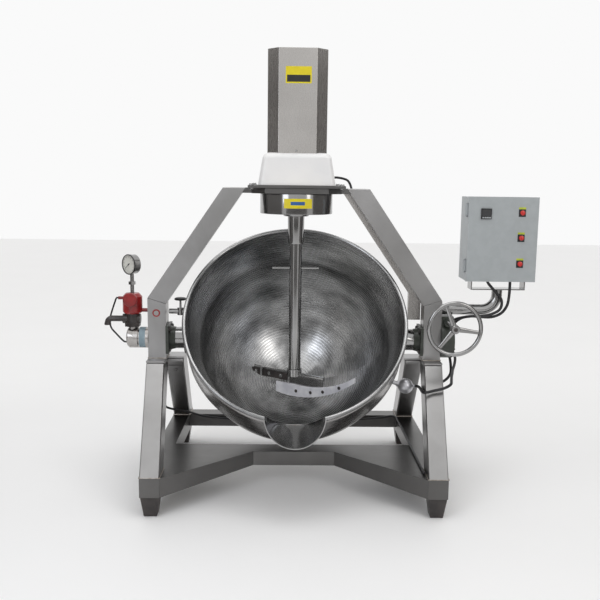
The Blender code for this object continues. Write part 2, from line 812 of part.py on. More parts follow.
def head_plate_and_cover():
    bottom, top = HEAD_PLATE_BOTTOM, HEAD_PLATE_TOP
    x, y = HEAD_PLATE_WIDTH / 2, HEAD_PLATE_DEPTH / 2
    plate = add("head_plate", box((-x, -y, bottom), (x, y, top)), SATIN_STEEL, MACHINE)
    hole = cylinder((0, 0, bottom - OVERRUN), (0, 0, 1), HEAD_PLATE + 2 * OVERRUN, COLLAR_RADIUS)
    cut(plate, hole)

    rise = COVER_HEIGHT - COVER_ROUND
    turns = [math.radians(a) for a in (0, 30, 60, 90)]
    heights = [0, *[rise + COVER_ROUND * math.sin(a) for a in turns]]
    cover = add("head_cover", lofted([cover_ring(h, 0) for h in heights]), WHITE_COVER, MACHINE)
    inner = [cover_ring(h, COVER_WALL) for h in heights[:-2]]
    inner[0] = [(a, b, c - OVERRUN) for a, b, c in inner[0]]
    cut(cover, lofted(inner))
    outline = chamfered(
        HOOD_WIDTH + 2 * GAP, HOOD_DEPTH + 2 * GAP, HOOD_CHAMFER
    )
    cut(cover, extruded(outline, top + rise / 2, top + COVER_HEIGHT + OVERRUN))
    smooth(cover)


def motor_hood():
    """Folded sheet over the motor, open at the bottom."""
    bottom = HEAD_PLATE_TOP + GAP
    outline = chamfered(HOOD_WIDTH, HOOD_DEPTH, HOOD_CHAMFER)
    hood = add("motor_hood", extruded(outline, bottom, HOOD_TOP), BRUSHED_STEEL, MACHINE)
    lean = 2 * HOOD_WALL
    inner = chamfered(HOOD_WIDTH - lean, HOOD_DEPTH - lean, HOOD_CHAMFER - HOOD_WALL / 2)
    cut(hood, extruded(inner, bottom - OVERRUN, HOOD_TOP - HOOD_WALL))


def gear_drum():
    """Round gear housing under the beam, with a bore for the drive sleeve."""
    high, low, edge = DRUM_TOP, DRUM_BOTTOM, DRUM_EDGE
    bore = SLEEVE_TOP_RADIUS + RUNNING_GAP
    profile = [
        (bore, high),
        (DRUM_RADIUS - edge, high),
        (DRUM_RADIUS, high - edge),
        (DRUM_RADIUS, low + edge),
        (DRUM_RADIUS - edge, low),
        (COLLAR_RADIUS, low),
        (COLLAR_RADIUS, low - COLLAR),
        (bore, low - COLLAR),
    ]
    smooth(add("gear_drum", turned(profile, 40), POLISHED_STEEL, MACHINE))


def drive_motor():
    """Finned motor behind the shaft line, on a neck that stands on the head plate."""
    base = HEAD_PLATE_TOP + GAP
    back = HOOD_DEPTH / 2 - HOOD_WALL - MOTOR_RADIUS - MOTOR_SPACE
    core = MOTOR_RADIUS - MOTOR_FIN
    shell = cylinder((0, back, MOTOR_BOTTOM), (0, 0, 1), MOTOR_TOP - MOTOR_BOTTOM, core)
    motor = add("drive_motor", shell, DARK_CAST, MACHINE)
    half = MOTOR_FIN_WALL / 2
    for i in range(MOTOR_FINS):
        fin = box((core - MOTOR_FIN, -half, MOTOR_BOTTOM), (MOTOR_RADIUS, half, MOTOR_TOP))
        spin = Matrix.Rotation(math.tau * (i + 1 / 2) / MOTOR_FINS, 4, "Z")
        fin.transform(Matrix.Translation((0, back, MOTOR_SPACE)) @ spin)
        join(motor, fin)
    wide = MOTOR_NECK_RADIUS * 2
    front = back - MOTOR_NECK_RADIUS
    foot = box((-wide, front, base), (wide, back + wide, base + MOTOR_FOOT))
    neck = cylinder((0, back, base), (0, 0, 1), MOTOR_BOTTOM - base + OVERLAP, MOTOR_NECK_RADIUS)
    join(motor, neck, foot)
    smooth(motor)


def lift_jack():
    """The tube of the jack that raises and lowers the shaft, closed at its foot."""
    base = HEAD_PLATE_TOP + GAP
    outer = LIFT_ROD_RADIUS + JACK_WALL + RUNNING_GAP
    inner = LIFT_ROD_RADIUS + RUNNING_GAP
    profile = [
        (inner, JACK_TOP),
        (outer, JACK_TOP),
        (outer, base),
        (0, base),
        (0, base + JACK_WALL),
        (inner, base + JACK_WALL),
    ]
    place = (LIFT_ROD_PLACE, 0, 0)
    smooth(add("lift_jack", turned(profile, 20), DARK_CAST, MACHINE, place))


# Stirrer, all of it on the shaft's axis


def lift_yoke():
    """The block that carries the turning shaft by its top collar, with the jack's rod."""
    high = SHAFT_TOP - SHAFT_COLLAR - GAP
    low = high - YOKE
    yoke = add("lift_yoke", cylinder((0, 0, low), (0, 0, 1), YOKE, YOKE_RADIUS), DARK_CAST, MACHINE)
    reach = LIFT_ROD_PLACE + LIFT_ROD_RADIUS
    arm = box((0, -LIFT_ROD_RADIUS, low), (reach, LIFT_ROD_RADIUS, high))
    rod_length = low - JACK_TOP + LIFT_ROD_GRIP
    rod = cylinder(
        (LIFT_ROD_PLACE, 0, low + OVERLAP), (0, 0, -1), rod_length, LIFT_ROD_RADIUS, sides=20
    )
    join(yoke, arm, rod)
    bore = SHAFT_RADIUS + RUNNING_GAP
    cut(yoke, cylinder((0, 0, low - OVERRUN), (0, 0, 1), YOKE + 2 * OVERRUN, bore))


def drive_sleeve():
    """The tapered sleeve that turns the shaft, resting on the drum by its flange."""
    bore = SHAFT_RADIUS + GAP
    seat = DRUM_TOP + GAP
    flange = SLEEVE_TOP_RADIUS + SLEEVE_FLANGE
    profile = [
        (bore, seat + SLEEVE_FLANGE),
        (flange, seat + SLEEVE_FLANGE),
        (flange, seat),
        (SLEEVE_TOP_RADIUS, seat),
        (SLEEVE_TOP_RADIUS, DRUM_BOTTOM - COLLAR),
        (SLEEVE_BOTTOM_RADIUS, SLEEVE_BOTTOM),
        (bore, SLEEVE_BOTTOM),
    ]
    smooth(add("drive_sleeve", turned(profile, 32), POLISHED_STEEL, MACHINE))


def stirrer_shaft():
    top = SHAFT_TOP
    collar = SHAFT_RADIUS + SHAFT_COLLAR * 3 / 4
    profile = [
        (0, top),
        (collar, top),
        (collar, top - SHAFT_COLLAR),
        (SHAFT_RADIUS, top - SHAFT_COLLAR),
        (SHAFT_RADIUS, SHAFT_BOTTOM),
        (0, SHAFT_BOTTOM),
    ]
    shaft = add("stirrer_shaft", turned(profile, 32), POLISHED_STEEL, MACHINE)
    bore = CROSSBAR_RADIUS + GAP
    start = (-SHAFT_RADIUS - OVERRUN, 0, CROSSBAR_HEIGHT)
    cut(shaft, cylinder(start, (1, 0, 0), 2 * (SHAFT_RADIUS + OVERRUN), bore, sides=20))
    smooth(shaft)
    bar = cylinder(
        (-CROSSBAR_LENGTH / 2, 0, CROSSBAR_HEIGHT),
        (1, 0, 0),
        CROSSBAR_LENGTH,
        CROSSBAR_RADIUS,
        sides=20,
    )
    smooth(add("stirrer_crossbar", bar, POLISHED_STEEL, MACHINE))


def arc_height(x, low, radius):
    """Height at x of an arc that is lowest at the shaft."""
    return low + radius - math.sqrt(radius**2 - x**2)


def scraper():
    """Hub and arm under the shaft, with a steel plate on one side and a plastic blade on the other."""
    turn = (0, 0, ARM_AZIMUTH)
    top = SHAFT_BOTTOM - GAP
    hub = cylinder((0, 0, top - HUB), (0, 0, 1), HUB, HUB_RADIUS)
    arm = add("scraper_arm", hub, POLISHED_STEEL, MACHINE, turn=turn)
    half = ARM_DEPTH / 2
    low = ARM_HEIGHT - ARM_WIDTH / 2
    bar = box((-ARM_LEFT, -half, low), (ARM_RIGHT, half, low + ARM_WIDTH))
    # A hooked finger grips the plate from above.
    finger = box(
        (-HOOK_PLACE - half, -half - PLATE_THICKNESS * 2, low - PLATE_HEIGHT * 3 / 4),
        (-HOOK_PLACE + half, -half - PLATE_THICKNESS - GAP, low + ARM_WIDTH),
    )
    bridge = box(
        (-HOOK_PLACE - half, -half - PLATE_THICKNESS * 2, low + ARM_WIDTH / 2),
        (-HOOK_PLACE + half, -half + OVERLAP, low + ARM_WIDTH),
    )
    join(arm, bar, finger, bridge)

    front = -half - GAP
    back = front - PLATE_THICKNESS + 2 * GAP
    high = low + ARM_WIDTH / 2 - GAP
    under = high - PLATE_HEIGHT
    slant = PLATE_HEIGHT / 2
    plate_outline = [
        (-PLATE_LEFT, high),
        (-PLATE_LEFT + slant / 3, high - slant),
        (-PLATE_LEFT + 3 * slant, under),
        (-PLATE_RIGHT - slant, under),
        (-PLATE_RIGHT, under + slant),
        (-PLATE_RIGHT, high),
    ]
    hub_space = cylinder(
        (0, 0, under - OVERRUN), (0, 0, 1), PLATE_HEIGHT + 3 * OVERRUN, HUB_RADIUS + GAP
    )
    plate = extruded(plate_outline, back, front, "XZ")
    plate_obj = add("scraper_plate", plate, DARK_CAST, MACHINE, turn=turn)
    cut(plate_obj, hub_space)

    # A strap down the front of the arm carries the blade; the blade's edge follows the bowl.
    strap = box(
        (-PLATE_RIGHT + GAP, back, BLADE_LOW + BLADE_MIDDLE * STRAP_SHARE),
        (ARM_RIGHT - OVERLAP, -half + OVERLAP, low + ARM_WIDTH / 2),
    )
    join(arm, strap)
    steps = np.linspace(-BLADE_LEFT, BLADE_RIGHT, 15)
    edge = [(x, arc_height(x, BLADE_LOW, BLADE_ARC)) for x in steps]

    def blade_height(x):
        share = abs(x) / BLADE_RIGHT
        return BLADE_MIDDLE + (BLADE_TIP - BLADE_MIDDLE) * share

    upper = [(x, z + blade_height(x)) for x, z in edge[::-1]]
    mesh = extruded([*edge, *upper], back - GAP - BLADE_THICKNESS, back - GAP, "XZ")
    blade = add("scraper_blade", mesh, WHITE_PTFE, MACHINE, turn=turn)
    rounded(blade, BLADE_THICKNESS / 6)


# Kettle, upright, with the trunnion axis through the origin of the empty "tilt_axis"

RIM_INSIDE = RIM_RADIUS - 2 * RIM_BEAD
WALL_SLOPE = (RIM_INSIDE - BOWL_RADIUS) / RIM_HEIGHT


def wall_radius(height, outwards=0):
    """Radius of the bowl's inner face above the axis, where it opens as a cone."""
    return BOWL_RADIUS + height * WALL_SLOPE + outwards


def quarter_arc(radius, rise, steps):
    """(radius, height) points of a dish from its equator down to its pole."""
    angles = [math.pi / 2 * i / steps for i in range(steps + 1)]
    return [(radius * math.cos(a), rise - radius * math.sin(a)) for a in angles]


def jacket_outside(grow=0):
    """The jacket's outer face from its shoulder down to its pole, moved outwards by grow."""
    dish = quarter_arc(JACKET_DISH_RADIUS + grow, JACKET_DISH_RISE, DISH_STEPS)
    return [
        (JACKET_RADIUS + grow - JACKET_SHOULDER, JACKET_TOP),
        (JACKET_RADIUS + grow, JACKET_TOP - JACKET_SHOULDER),
        (JACKET_RADIUS + grow, JACKET_DISH_RISE),
        # The band runs straight into the dish this many steps below the dish's equator.
        *dish[2:],
    ]


def jacket_blank():
    """All that the jacket fills, with a gap round it, for cutting what is fitted to it."""
    return turned([(0, JACKET_TOP), *jacket_outside(GAP)], KETTLE_STEPS)


def kettle_bowl():
    """Cone above, half sphere below, with a bead rolled outwards round the rim."""
    bead = RIM_BEAD
    middle = (RIM_RADIUS - bead, RIM_HEIGHT - bead)
    roll = [
        (middle[0] + bead * math.cos(a), middle[1] + bead * math.sin(a))
        for a in [math.radians(d) for d in (180, 120, 60, 0, -45, -90)]
    ]
    under = RIM_HEIGHT - 2 * bead
    outer = quarter_arc(BOWL_RADIUS + BOWL_WALL, 0, DISH_STEPS)
    inner = quarter_arc(BOWL_RADIUS, 0, DISH_STEPS)[::-1]
    profile = [*roll, (wall_radius(under, BOWL_WALL), under), *outer, *inner]
    bowl = add("kettle_bowl", turned(profile, KETTLE_STEPS), POLISHED_STEEL, TILT)
    cut(bowl, spout_shape(0, inside=SPOUT_HALF_WIDTH))
    smooth(bowl)


def spout_shape(grow, inside):
    """The spout's hollow as a closed loft, from above the rim down to its lowest point.

    Each level is half an ellipse that narrows and draws in with depth, so that the floor runs
    straight down from the lip to the wall; grow adds a wall, inside runs it into the bowl.
    """
    rings = []
    for share in SPOUT_LEVELS:
        height = RIM_HEIGHT - SPOUT_DROP * share - grow * max(0, share) / 2
        level = max(0, share)
        half = SPOUT_HALF_WIDTH * math.sqrt(1 - level) + grow
        lip = RIM_RADIUS + SPOUT_REACH - (RIM_RADIUS + SPOUT_REACH - BOWL_RADIUS) * level
        chord = math.sqrt(max(0, wall_radius(min(height, RIM_HEIGHT), BOWL_WALL) ** 2 - half**2))
        reach = max(lip + grow - chord, OVERLAP)
        angles = [math.pi * i / 10 for i in range(11)]
        ring = [(half * math.cos(a), -chord - reach * math.sin(a), height) for a in angles]
        back = -chord + inside
        ring += [(-half, back, height), (half, back, height)]
        rings.append(ring)
    return lofted(rings)


def spout():
    """Pressed scoop welded over the notch in the bowl's front."""
    outer = spout_shape(SPOUT_WALL, inside=OVERRUN)
    piece = add("pouring_spout", outer, POLISHED_STEEL, TILT)
    cut(piece, spout_shape(0, inside=SPOUT_HALF_WIDTH))
    top = RIM_HEIGHT
    reach = RIM_RADIUS + SPOUT_REACH
    lid = box((-reach, -reach - OVERRUN, top), (reach, 0, top + RIM_HEIGHT))
    # What the bowl itself fills, bead and all
    blank = [
        (0, top + OVERRUN),
        (RIM_RADIUS + GAP, top + OVERRUN),
        (RIM_RADIUS + GAP, top - 2 * RIM_BEAD - GAP),
        (wall_radius(top - 2 * RIM_BEAD, BOWL_WALL + GAP), top - 2 * RIM_BEAD - GAP),
        (wall_radius(0, BOWL_WALL + GAP), 0),
        (wall_radius(-RIM_HEIGHT / 2, BOWL_WALL + GAP), -RIM_HEIGHT / 2),
        (0, -RIM_HEIGHT / 2),
    ]
    cut(piece, lid, turned(blank, KETTLE_STEPS))
    smooth(piece)


def kettle_jacket():
    """The steam jacket: a band under the rim and a dish, with a ring that closes it to the bowl."""
    top = JACKET_TOP
    wall = JACKET_WALL
    inner_dish = quarter_arc(JACKET_DISH_RADIUS - wall, JACKET_DISH_RISE, DISH_STEPS)[::-1]
    profile = [
        (wall_radius(top, BOWL_WALL + GAP), top),
        *jacket_outside(),
        *inner_dish[:-2],
        (JACKET_RADIUS - wall, JACKET_DISH_RISE),
        (JACKET_RADIUS - wall, top - JACKET_SHOULDER - wall / 2),
        (JACKET_RADIUS - JACKET_SHOULDER - wall / 2, top - wall),
        (wall_radius(top - wall, BOWL_WALL + GAP), top - wall),
    ]
    jacket = add("kettle_jacket", turned(profile, KETTLE_STEPS), BRUSHED_STEEL, TILT)
    for side in (-1, 1):
        start_x = side * (JACKET_RADIUS - 2 * JACKET_WALL)
        hole = cylinder((start_x, 0, 0), (side, 0, 0), 4 * JACKET_WALL, STEAM_BORE)
        cut(jacket, hole)
    # The spout passes through the band.
    cut(jacket, spout_shape(SPOUT_WALL + GAP, inside=SPOUT_HALF_WIDTH / 4))
    smooth(jacket)


def trunnions():
    """Hollow stubs with welded pads; the left one feeds steam, the right one carries the wheel."""
    face = JACKET_RADIUS - 4 * JACKET_WALL
    pad_end = JACKET_RADIUS + TRUNNION_PAD
    boss_end = COLUMN_INSIDE - BEARING_FLANGE - BEARING_BOSS - 2 * GAP
    left_end = COLUMN_OUTSIDE + UNION_LENGTH / 2
    right_end = GEAR_MIDDLE + WHEEL_WIDTH / 2
    for name, side, end in (("left", -1, left_end), ("right", 1, right_end)):
        bore = STEAM_BORE
        profile = [
            (bore, end),
            (TRUNNION_RADIUS, end),
            (TRUNNION_RADIUS, boss_end),
            (TRUNNION_BOSS_RADIUS, boss_end),
            (TRUNNION_BOSS_RADIUS, pad_end),
            (TRUNNION_PAD_RADIUS, pad_end),
            (TRUNNION_PAD_RADIUS, face),
            (bore, face),
        ]
        mesh = turned(profile, 24, axis=(side, 0, 0))
        trunnion = add("trunnion_" + name, mesh, POLISHED_STEEL, TILT)
        cut(trunnion, jacket_blank())
        smooth(trunnion)


def bearings():
    """Square flanged bearing housings on the columns' inner faces."""
    for name, side in (("left", -1), ("right", 1)):
        face = COLUMN_INSIDE - GAP
        back = face - BEARING_FLANGE
        half = BEARING_SIDE / 2
        low, high = sorted((side * face, side * back))
        z = TRUNNION_HEIGHT
        block = box((low, -half, z - half), (high, half, z + half))
        flange = add("bearing_" + name, block, CAST_IRON, MACHINE)
        boss = cylinder(
            (side * (back + OVERLAP), 0, z),
            (-side, 0, 0),
            BEARING_BOSS + OVERLAP,
            BEARING_BOSS_RADIUS * BEARING_BOSS_FLARE,
            BEARING_BOSS_RADIUS,
        )
        bore = cylinder(
            (side * (face + OVERRUN), 0, z),
            (-side, 0, 0),
            BEARING_FLANGE + BEARING_BOSS + 2 * OVERRUN,
            TRUNNION_RADIUS + GAP,
        )
        join(flange, boss)
        cut(flange, bore)


# Tilt gearbox on the right column: a worm on the handwheel's shaft turns the wheel on the trunnion

WHEEL_PITCH_RADIUS = WORM_MODULE * WHEEL_TEETH / 2
WORM_HEIGHT = WHEEL_PITCH_RADIUS + WORM_RADIUS  # above the trunnion axis
TOOTH_PITCH = math.pi * WORM_MODULE
ADDENDUM = ADDENDUM_SHARE * WORM_MODULE
DEDENDUM = DEDENDUM_SHARE * WORM_MODULE
WORM_LEAD_ANGLE = math.atan2(TOOTH_PITCH, math.tau * WORM_RADIUS)
GEAR_INSIDE = COLUMN_OUTSIDE + GAP
GEAR_MIDDLE = GEAR_INSIDE + GEAR_WALL + WORM_RADIUS + ADDENDUM + GEAR_CLEARANCE


def tooth_half(outwards):
    """Half a tooth's thickness at a distance outwards from its pitch line."""
    return TOOTH_PITCH * TOOTH_SHARE / 2 - outwards * math.tan(PRESSURE_ANGLE)


def worm_wheel():
    """Teeth slanted to the worm's lead, with a gap between teeth under the worm at rest."""
    radius = WHEEL_PITCH_RADIUS
    levels = [(-DEDENDUM, -1), (ADDENDUM, -1), (ADDENDUM, 1), (-DEDENDUM, 1)]
    rings = []
    for x in (-WHEEL_WIDTH / 2, WHEEL_WIDTH / 2):
        twist = -x * math.tan(WORM_LEAD_ANGLE) / radius
        ring = []
        for tooth in range(WHEEL_TEETH):
            middle = math.tau * (tooth + 1 / 2) / WHEEL_TEETH + twist
            for out, way in levels:
                angle = middle + way * tooth_half(out) / radius
                r = radius + out
                ring.append((x, r * math.sin(angle), r * math.cos(angle)))
        rings.append(ring)
    wheel = add("worm_wheel", lofted(rings), BRONZE, TILT, (GEAR_MIDDLE, 0, 0), (-TILT_AT_REST, 0, 0))
    start = (-WHEEL_WIDTH / 2 - OVERRUN, 0, 0)
    bore = cylinder(start, (1, 0, 0), WHEEL_WIDTH + 2 * OVERRUN, TRUNNION_RADIUS + GAP)
    cut(wheel, bore)


def worm_shaft():
    """Right-handed worm on its shaft, which runs forward to the handwheel."""
    place = (GEAR_MIDDLE, 0, TRUNNION_HEIGHT + WORM_HEIGHT)
    root = WORM_RADIUS - DEDENDUM
    half = WORM_LENGTH / 2
    back = half + GEAR_CLEARANCE + GEAR_WALL
    profile = [
        (0, back),
        (WORM_SHAFT_RADIUS, back),
        (WORM_SHAFT_RADIUS, half),
        (root, half),
        (root, -half),
        (WORM_SHAFT_RADIUS, -half),
        (WORM_SHAFT_RADIUS, -HANDWHEEL_REACH - HANDWHEEL_HUB / 2),
        (0, -HANDWHEEL_REACH - HANDWHEEL_HUB / 2),
    ]
    shaft = add("worm_shaft", turned(profile, 32, axis=(0, 1, 0)), POLISHED_STEEL, MACHINE, place)
    turns = (WORM_LENGTH - TOOTH_PITCH) / TOOTH_PITCH
    per_turn = 11
    steps = round(turns * per_turn)
    rings = []
    for i in range(steps + 1):
        angle = math.tau * turns * (i / steps - 1 / 2) + math.pi
        along = TOOTH_PITCH * (angle - math.pi) / math.tau
        ring = []
        root = -DEDENDUM - OVERLAP / 4
        for out, way in ((root, -1), (ADDENDUM, -1), (ADDENDUM, 1), (root, 1)):
            r = WORM_RADIUS + out
            y = along + way * tooth_half(out)
            ring.append((r * math.sin(angle), y, r * math.cos(angle)))
        rings.append(ring)
    join(shaft, lofted(rings))
    smooth(shaft)


def gearbox():
    """Cast case round wheel and worm, open on its outer side, and the cover that closes it."""
    inner_radius = WHEEL_PITCH_RADIUS + ADDENDUM + GEAR_CLEARANCE
    outer_radius = inner_radius + GEAR_WALL
    worm_inner = WORM_RADIUS + ADDENDUM + GEAR_CLEARANCE
    worm_outer = worm_inner + GEAR_WALL
    half = WORM_LENGTH / 2 + GEAR_CLEARANCE
    case_half = half + GEAR_WALL
    z = TRUNNION_HEIGHT
    worm_z = z + WORM_HEIGHT
    inside = GEAR_INSIDE
    outside = GEAR_MIDDLE + worm_inner
    width = outside - inside
    case = add(
        "gearbox_case",
        cylinder((inside, 0, z), (1, 0, 0), width, outer_radius, sides=28),
        CAST_IRON,
        MACHINE,
    )
    block = box((inside, -case_half, z), (outside, case_half, worm_z + worm_outer - GEAR_WALL / 2))
    join(case, block)
    floor = inside + GEAR_WALL
    well = cylinder((floor, 0, z), (1, 0, 0), width + OVERRUN, inner_radius, sides=28)
    tunnel = box((floor, -half, z), (outside + OVERRUN, half, worm_z + worm_inner))
    cut(case, well, tunnel)
    bore = TRUNNION_RADIUS + RUNNING_GAP
    cut(case, cylinder((inside - OVERRUN, 0, z), (1, 0, 0), width, bore))
    worm_start = (GEAR_MIDDLE, -case_half - GEAR_BOSS - OVERRUN, worm_z)
    worm_bore = WORM_SHAFT_RADIUS + GAP
    nose_start = (GEAR_MIDDLE, -case_half + OVERLAP, worm_z)
    nose_radius = worm_outer * 3 / 4
    join(case, cylinder(nose_start, (0, -1, 0), GEAR_BOSS, nose_radius, nose_radius * 4 / 5))
    long = 2 * (case_half + OVERRUN) + GEAR_BOSS
    cut(case, cylinder(worm_start, (0, 1, 0), long, worm_bore, sides=24))

    face = outside + GAP
    plate = cylinder((face, 0, z), (1, 0, 0), GEAR_COVER, outer_radius, sides=28)
    cover = add("gearbox_cover", plate, CAST_IRON, MACHINE)
    top = box((face, -case_half, z), (face + GEAR_COVER, case_half, worm_z + worm_outer - GEAR_WALL / 2))
    dome = cylinder((face + OVERLAP, 0, z), (1, 0, 0), GEAR_COVER, outer_radius * 3 / 4, outer_radius * 2 / 3)
    join(cover, top, dome)


def handwheel():
    """Three-spoked wheel on the end of the worm shaft."""
    place = (GEAR_MIDDLE, -HANDWHEEL_REACH, TRUNNION_HEIGHT + WORM_HEIGHT)
    rim_middle = HANDWHEEL_RADIUS - HANDWHEEL_RIM
    angles = [math.tau * i / 8 for i in range(8)]
    ring = [
        (rim_middle + HANDWHEEL_RIM * math.cos(a), -HANDWHEEL_RIM * math.sin(a)) for a in angles
    ]
    wheel = add("handwheel", turned(ring, 36, axis=(0, -1, 0)), POLISHED_STEEL, MACHINE, place)
    hub = cylinder((0, HANDWHEEL_HUB / 2, 0), (0, -1, 0), HANDWHEEL_HUB, HANDWHEEL_HUB_RADIUS)
    join(wheel, hub)
    for i in range(3):
        bar = box(
            (WORM_SHAFT_RADIUS + GAP, -SPOKE_DEPTH / 2, -SPOKE_WIDTH / 2),
            (rim_middle, SPOKE_DEPTH / 2, SPOKE_WIDTH / 2),
        )
        for vertex in bar.vertices:
            if vertex.co.x > HANDWHEEL_HUB_RADIUS:
                vertex.co.z = vertex.co.z * 3 / 4
        bar.transform(Matrix.Rotation(-FIRST_SPOKE - math.tau * i / 3, 4, "Y"))
        join(wheel, bar)
    start = (0, -HANDWHEEL_HUB, 0)
    cut(wheel, cylinder(start, (0, 1, 0), 2 * HANDWHEEL_HUB, WORM_SHAFT_RADIUS + GAP, sides=24))
    smooth(wheel)


# Control box on its pipe

BOX_LEFT = BOX_MIDDLE - BOX_WIDTH / 2
BOX_RIGHT = BOX_MIDDLE + BOX_WIDTH / 2
BOX_TOP = BOX_BOTTOM + BOX_HEIGHT
BOX_FACE = -DOOR_FRONT + DOOR_DEPTH + GAP
DOOR_BACK = -DOOR_FRONT + DOOR_DEPTH


def control_box():
    """Sheet enclosure, open in front, with a folded lip round the opening."""
    inset = BOX_WALL
    low = (BOX_LEFT + inset, BOX_FACE, BOX_BOTTOM + inset)
    high = (BOX_RIGHT - inset, BOX_FACE + BOX_DEPTH, BOX_TOP - inset)
    body = add("control_box", box(low, high), BOX_GREY, MACHINE)
    wall = BOX_WALL
    inner_low = (low[0] + wall, low[1] + wall, low[2] + wall)
    inner_high = (high[0] - wall, high[1] - wall, high[2] - wall)
    lip = BOX_WALL * 6
    mouth_low = (low[0] + lip, low[1] - OVERRUN, low[2] + lip)
    mouth_high = (high[0] - lip, low[1] + OVERRUN, high[2] - lip)
    cut(body, box(inner_low, inner_high), box(mouth_low, mouth_high))
    add_hinges(body)


def box_door():
    """Folded door with its knuckles; its origin is on the hinge line at its left edge."""
    hinge = (BOX_LEFT - HINGE_RADIUS, DOOR_BACK, 0)
    door = add("box_door", box(
        (HINGE_RADIUS, -DOOR_DEPTH, BOX_BOTTOM), (HINGE_RADIUS + BOX_WIDTH, 0, BOX_TOP)
    ), BOX_GREY, MACHINE, hinge)
    skin = DOOR_SKIN
    tray = box(
        (HINGE_RADIUS + skin, -DOOR_DEPTH + skin, BOX_BOTTOM + skin),
        (HINGE_RADIUS + BOX_WIDTH - skin, OVERRUN, BOX_TOP - skin),
    )
    cut(door, tray)
    free = HINGE_RADIUS + BOX_WIDTH - BUTTON_INSET
    for height in BUTTON_HEIGHTS:
        start = (free, -DOOR_DEPTH - OVERRUN, height)
        hole = cylinder(start, (0, 1, 0), 2 * OVERRUN, BUTTON_RADIUS * 3 / 4 + GAP, sides=24)
        cut(door, hole)
    side = CONTROLLER_SIDE / 2 - BOX_WALL
    x = HINGE_RADIUS + CONTROLLER_INSET
    z = CONTROLLER_HEIGHT
    window = box(
        (x - side - GAP, -DOOR_DEPTH - OVERRUN, z - side - GAP),
        (x + side + GAP, -DOOR_DEPTH + OVERRUN, z + side + GAP),
    )
    cut(door, window)
    for place in HINGE_PLACES:
        low = place - HINGE_LENGTH / 2
        knuckle = cylinder((0, 0, low), (0, 0, 1), HINGE_LENGTH, HINGE_RADIUS, sides=20)
        leaf = box((0, -HINGE_RADIUS, low), (HINGE_RADIUS + OVERLAP, 0, low + HINGE_LENGTH))
        join(door, knuckle, leaf)
        start = (0, 0, low - OVERRUN)
        pin = HINGE_RADIUS / 2 + GAP
        cut(door, cylinder(start, (0, 0, 1), HINGE_LENGTH + 2 * OVERRUN, pin, sides=16))


def add_hinges(body):
    """Pins in ears on the box's left side, above and below each of the door's knuckles."""
    x, y = BOX_LEFT - HINGE_RADIUS, DOOR_BACK
    side = BOX_LEFT + BOX_WALL + OVERLAP / 2
    pin_radius = HINGE_RADIUS / 2
    for place in HINGE_PLACES:
        low = place - HINGE_LENGTH / 2 - GAP - HINGE_RADIUS
        high = place + HINGE_LENGTH / 2 + GAP + HINGE_RADIUS
        length = high - low - 2 * OVERLAP
        pin = cylinder((x, y, low + OVERLAP), (0, 0, 1), length, pin_radius, sides=10)
        leaf = box((BOX_LEFT, y + pin_radius, low), (side, y + 4 * HINGE_RADIUS, high))
        join(body, leaf, pin)
        for bottom in (low, high - HINGE_RADIUS):
            top = bottom + HINGE_RADIUS
            eye = box((x - pin_radius, y - pin_radius, bottom), (x + pin_radius, y + HINGE_RADIUS, top))
            web = box((x, y + pin_radius, bottom), (side, y + HINGE_RADIUS, top))
            join(body, eye, web)


def door_controls():
    free = BOX_RIGHT - BUTTON_INSET
    face = -DOOR_FRONT
    for number, height in enumerate(BUTTON_HEIGHTS, 1):
        neck = BUTTON_RADIUS * 3 / 4
        stop = BUTTON_TRAVEL + GAP
        profile = [
            (0, BUTTON_PROUD),
            (BUTTON_RADIUS - BUTTON_PROUD / 8, BUTTON_PROUD),
            (BUTTON_RADIUS, BUTTON_PROUD * 7 / 8),
            (BUTTON_RADIUS, stop),
            (neck, stop),
            (neck, -DOOR_SKIN - stop),
            (0, -DOOR_SKIN - stop),
        ]
        mesh = turned(profile, 16, axis=(0, -1, 0))
        smooth(add(f"push_button_{number}", mesh, RED_PAINT, MACHINE, (free, face, height)))
    x = BOX_LEFT + CONTROLLER_INSET
    z = CONTROLLER_HEIGHT
    half = CONTROLLER_SIDE / 2
    bezel = box((x - half, face - CONTROLLER_PROUD, z - half), (x + half, face - GAP, z + half))
    controller = add("controller", bezel, BLACK_PLASTIC, MACHINE)
    side = half - BOX_WALL
    case = box(
        (x - side, face - OVERLAP, z - side), (x + side, face + CONTROLLER_DEPTH, z + side)
    )
    join(controller, case)


def box_support():
    """The pipe from the column, and the bent tray on it that carries the box."""
    y = 0
    elbow = (PIPE_MIDDLE, y, PIPE_HEIGHT)
    tray_top = BOX_BOTTOM + BOX_WALL - GAP
    tray_low = tray_top - TRAY_HEIGHT
    start = (COLUMN_OUTSIDE + GAP, y, PIPE_HEIGHT)
    end = (PIPE_MIDDLE, y, tray_low + TRAY_WALL / 2)
    points = [start, *bend(elbow, start, end, PIPE_BEND, 8), end]
    support = add("box_support", tube(points, PIPE_RADIUS, 4), BRUSHED_STEEL, MACHINE)
    half = TRAY_WIDTH / 2
    middle = BOX_MIDDLE
    deep = TRAY_DEPTH / 2
    low_x, high_x = middle - half, middle + half
    wall = TRAY_WALL
    bed = box((low_x, -deep, tray_low), (high_x, deep, tray_low + wall))
    left_ear = box((low_x, -deep, tray_low), (low_x + wall, deep, tray_top))
    right_ear = box((high_x - wall, -deep, tray_low), (high_x, deep, tray_top))
    join(support, bed, left_ear, right_ear)
    flange = cylinder(start, (1, 0, 0), wall, PIPE_RADIUS * 1.2)
    join(support, flange)


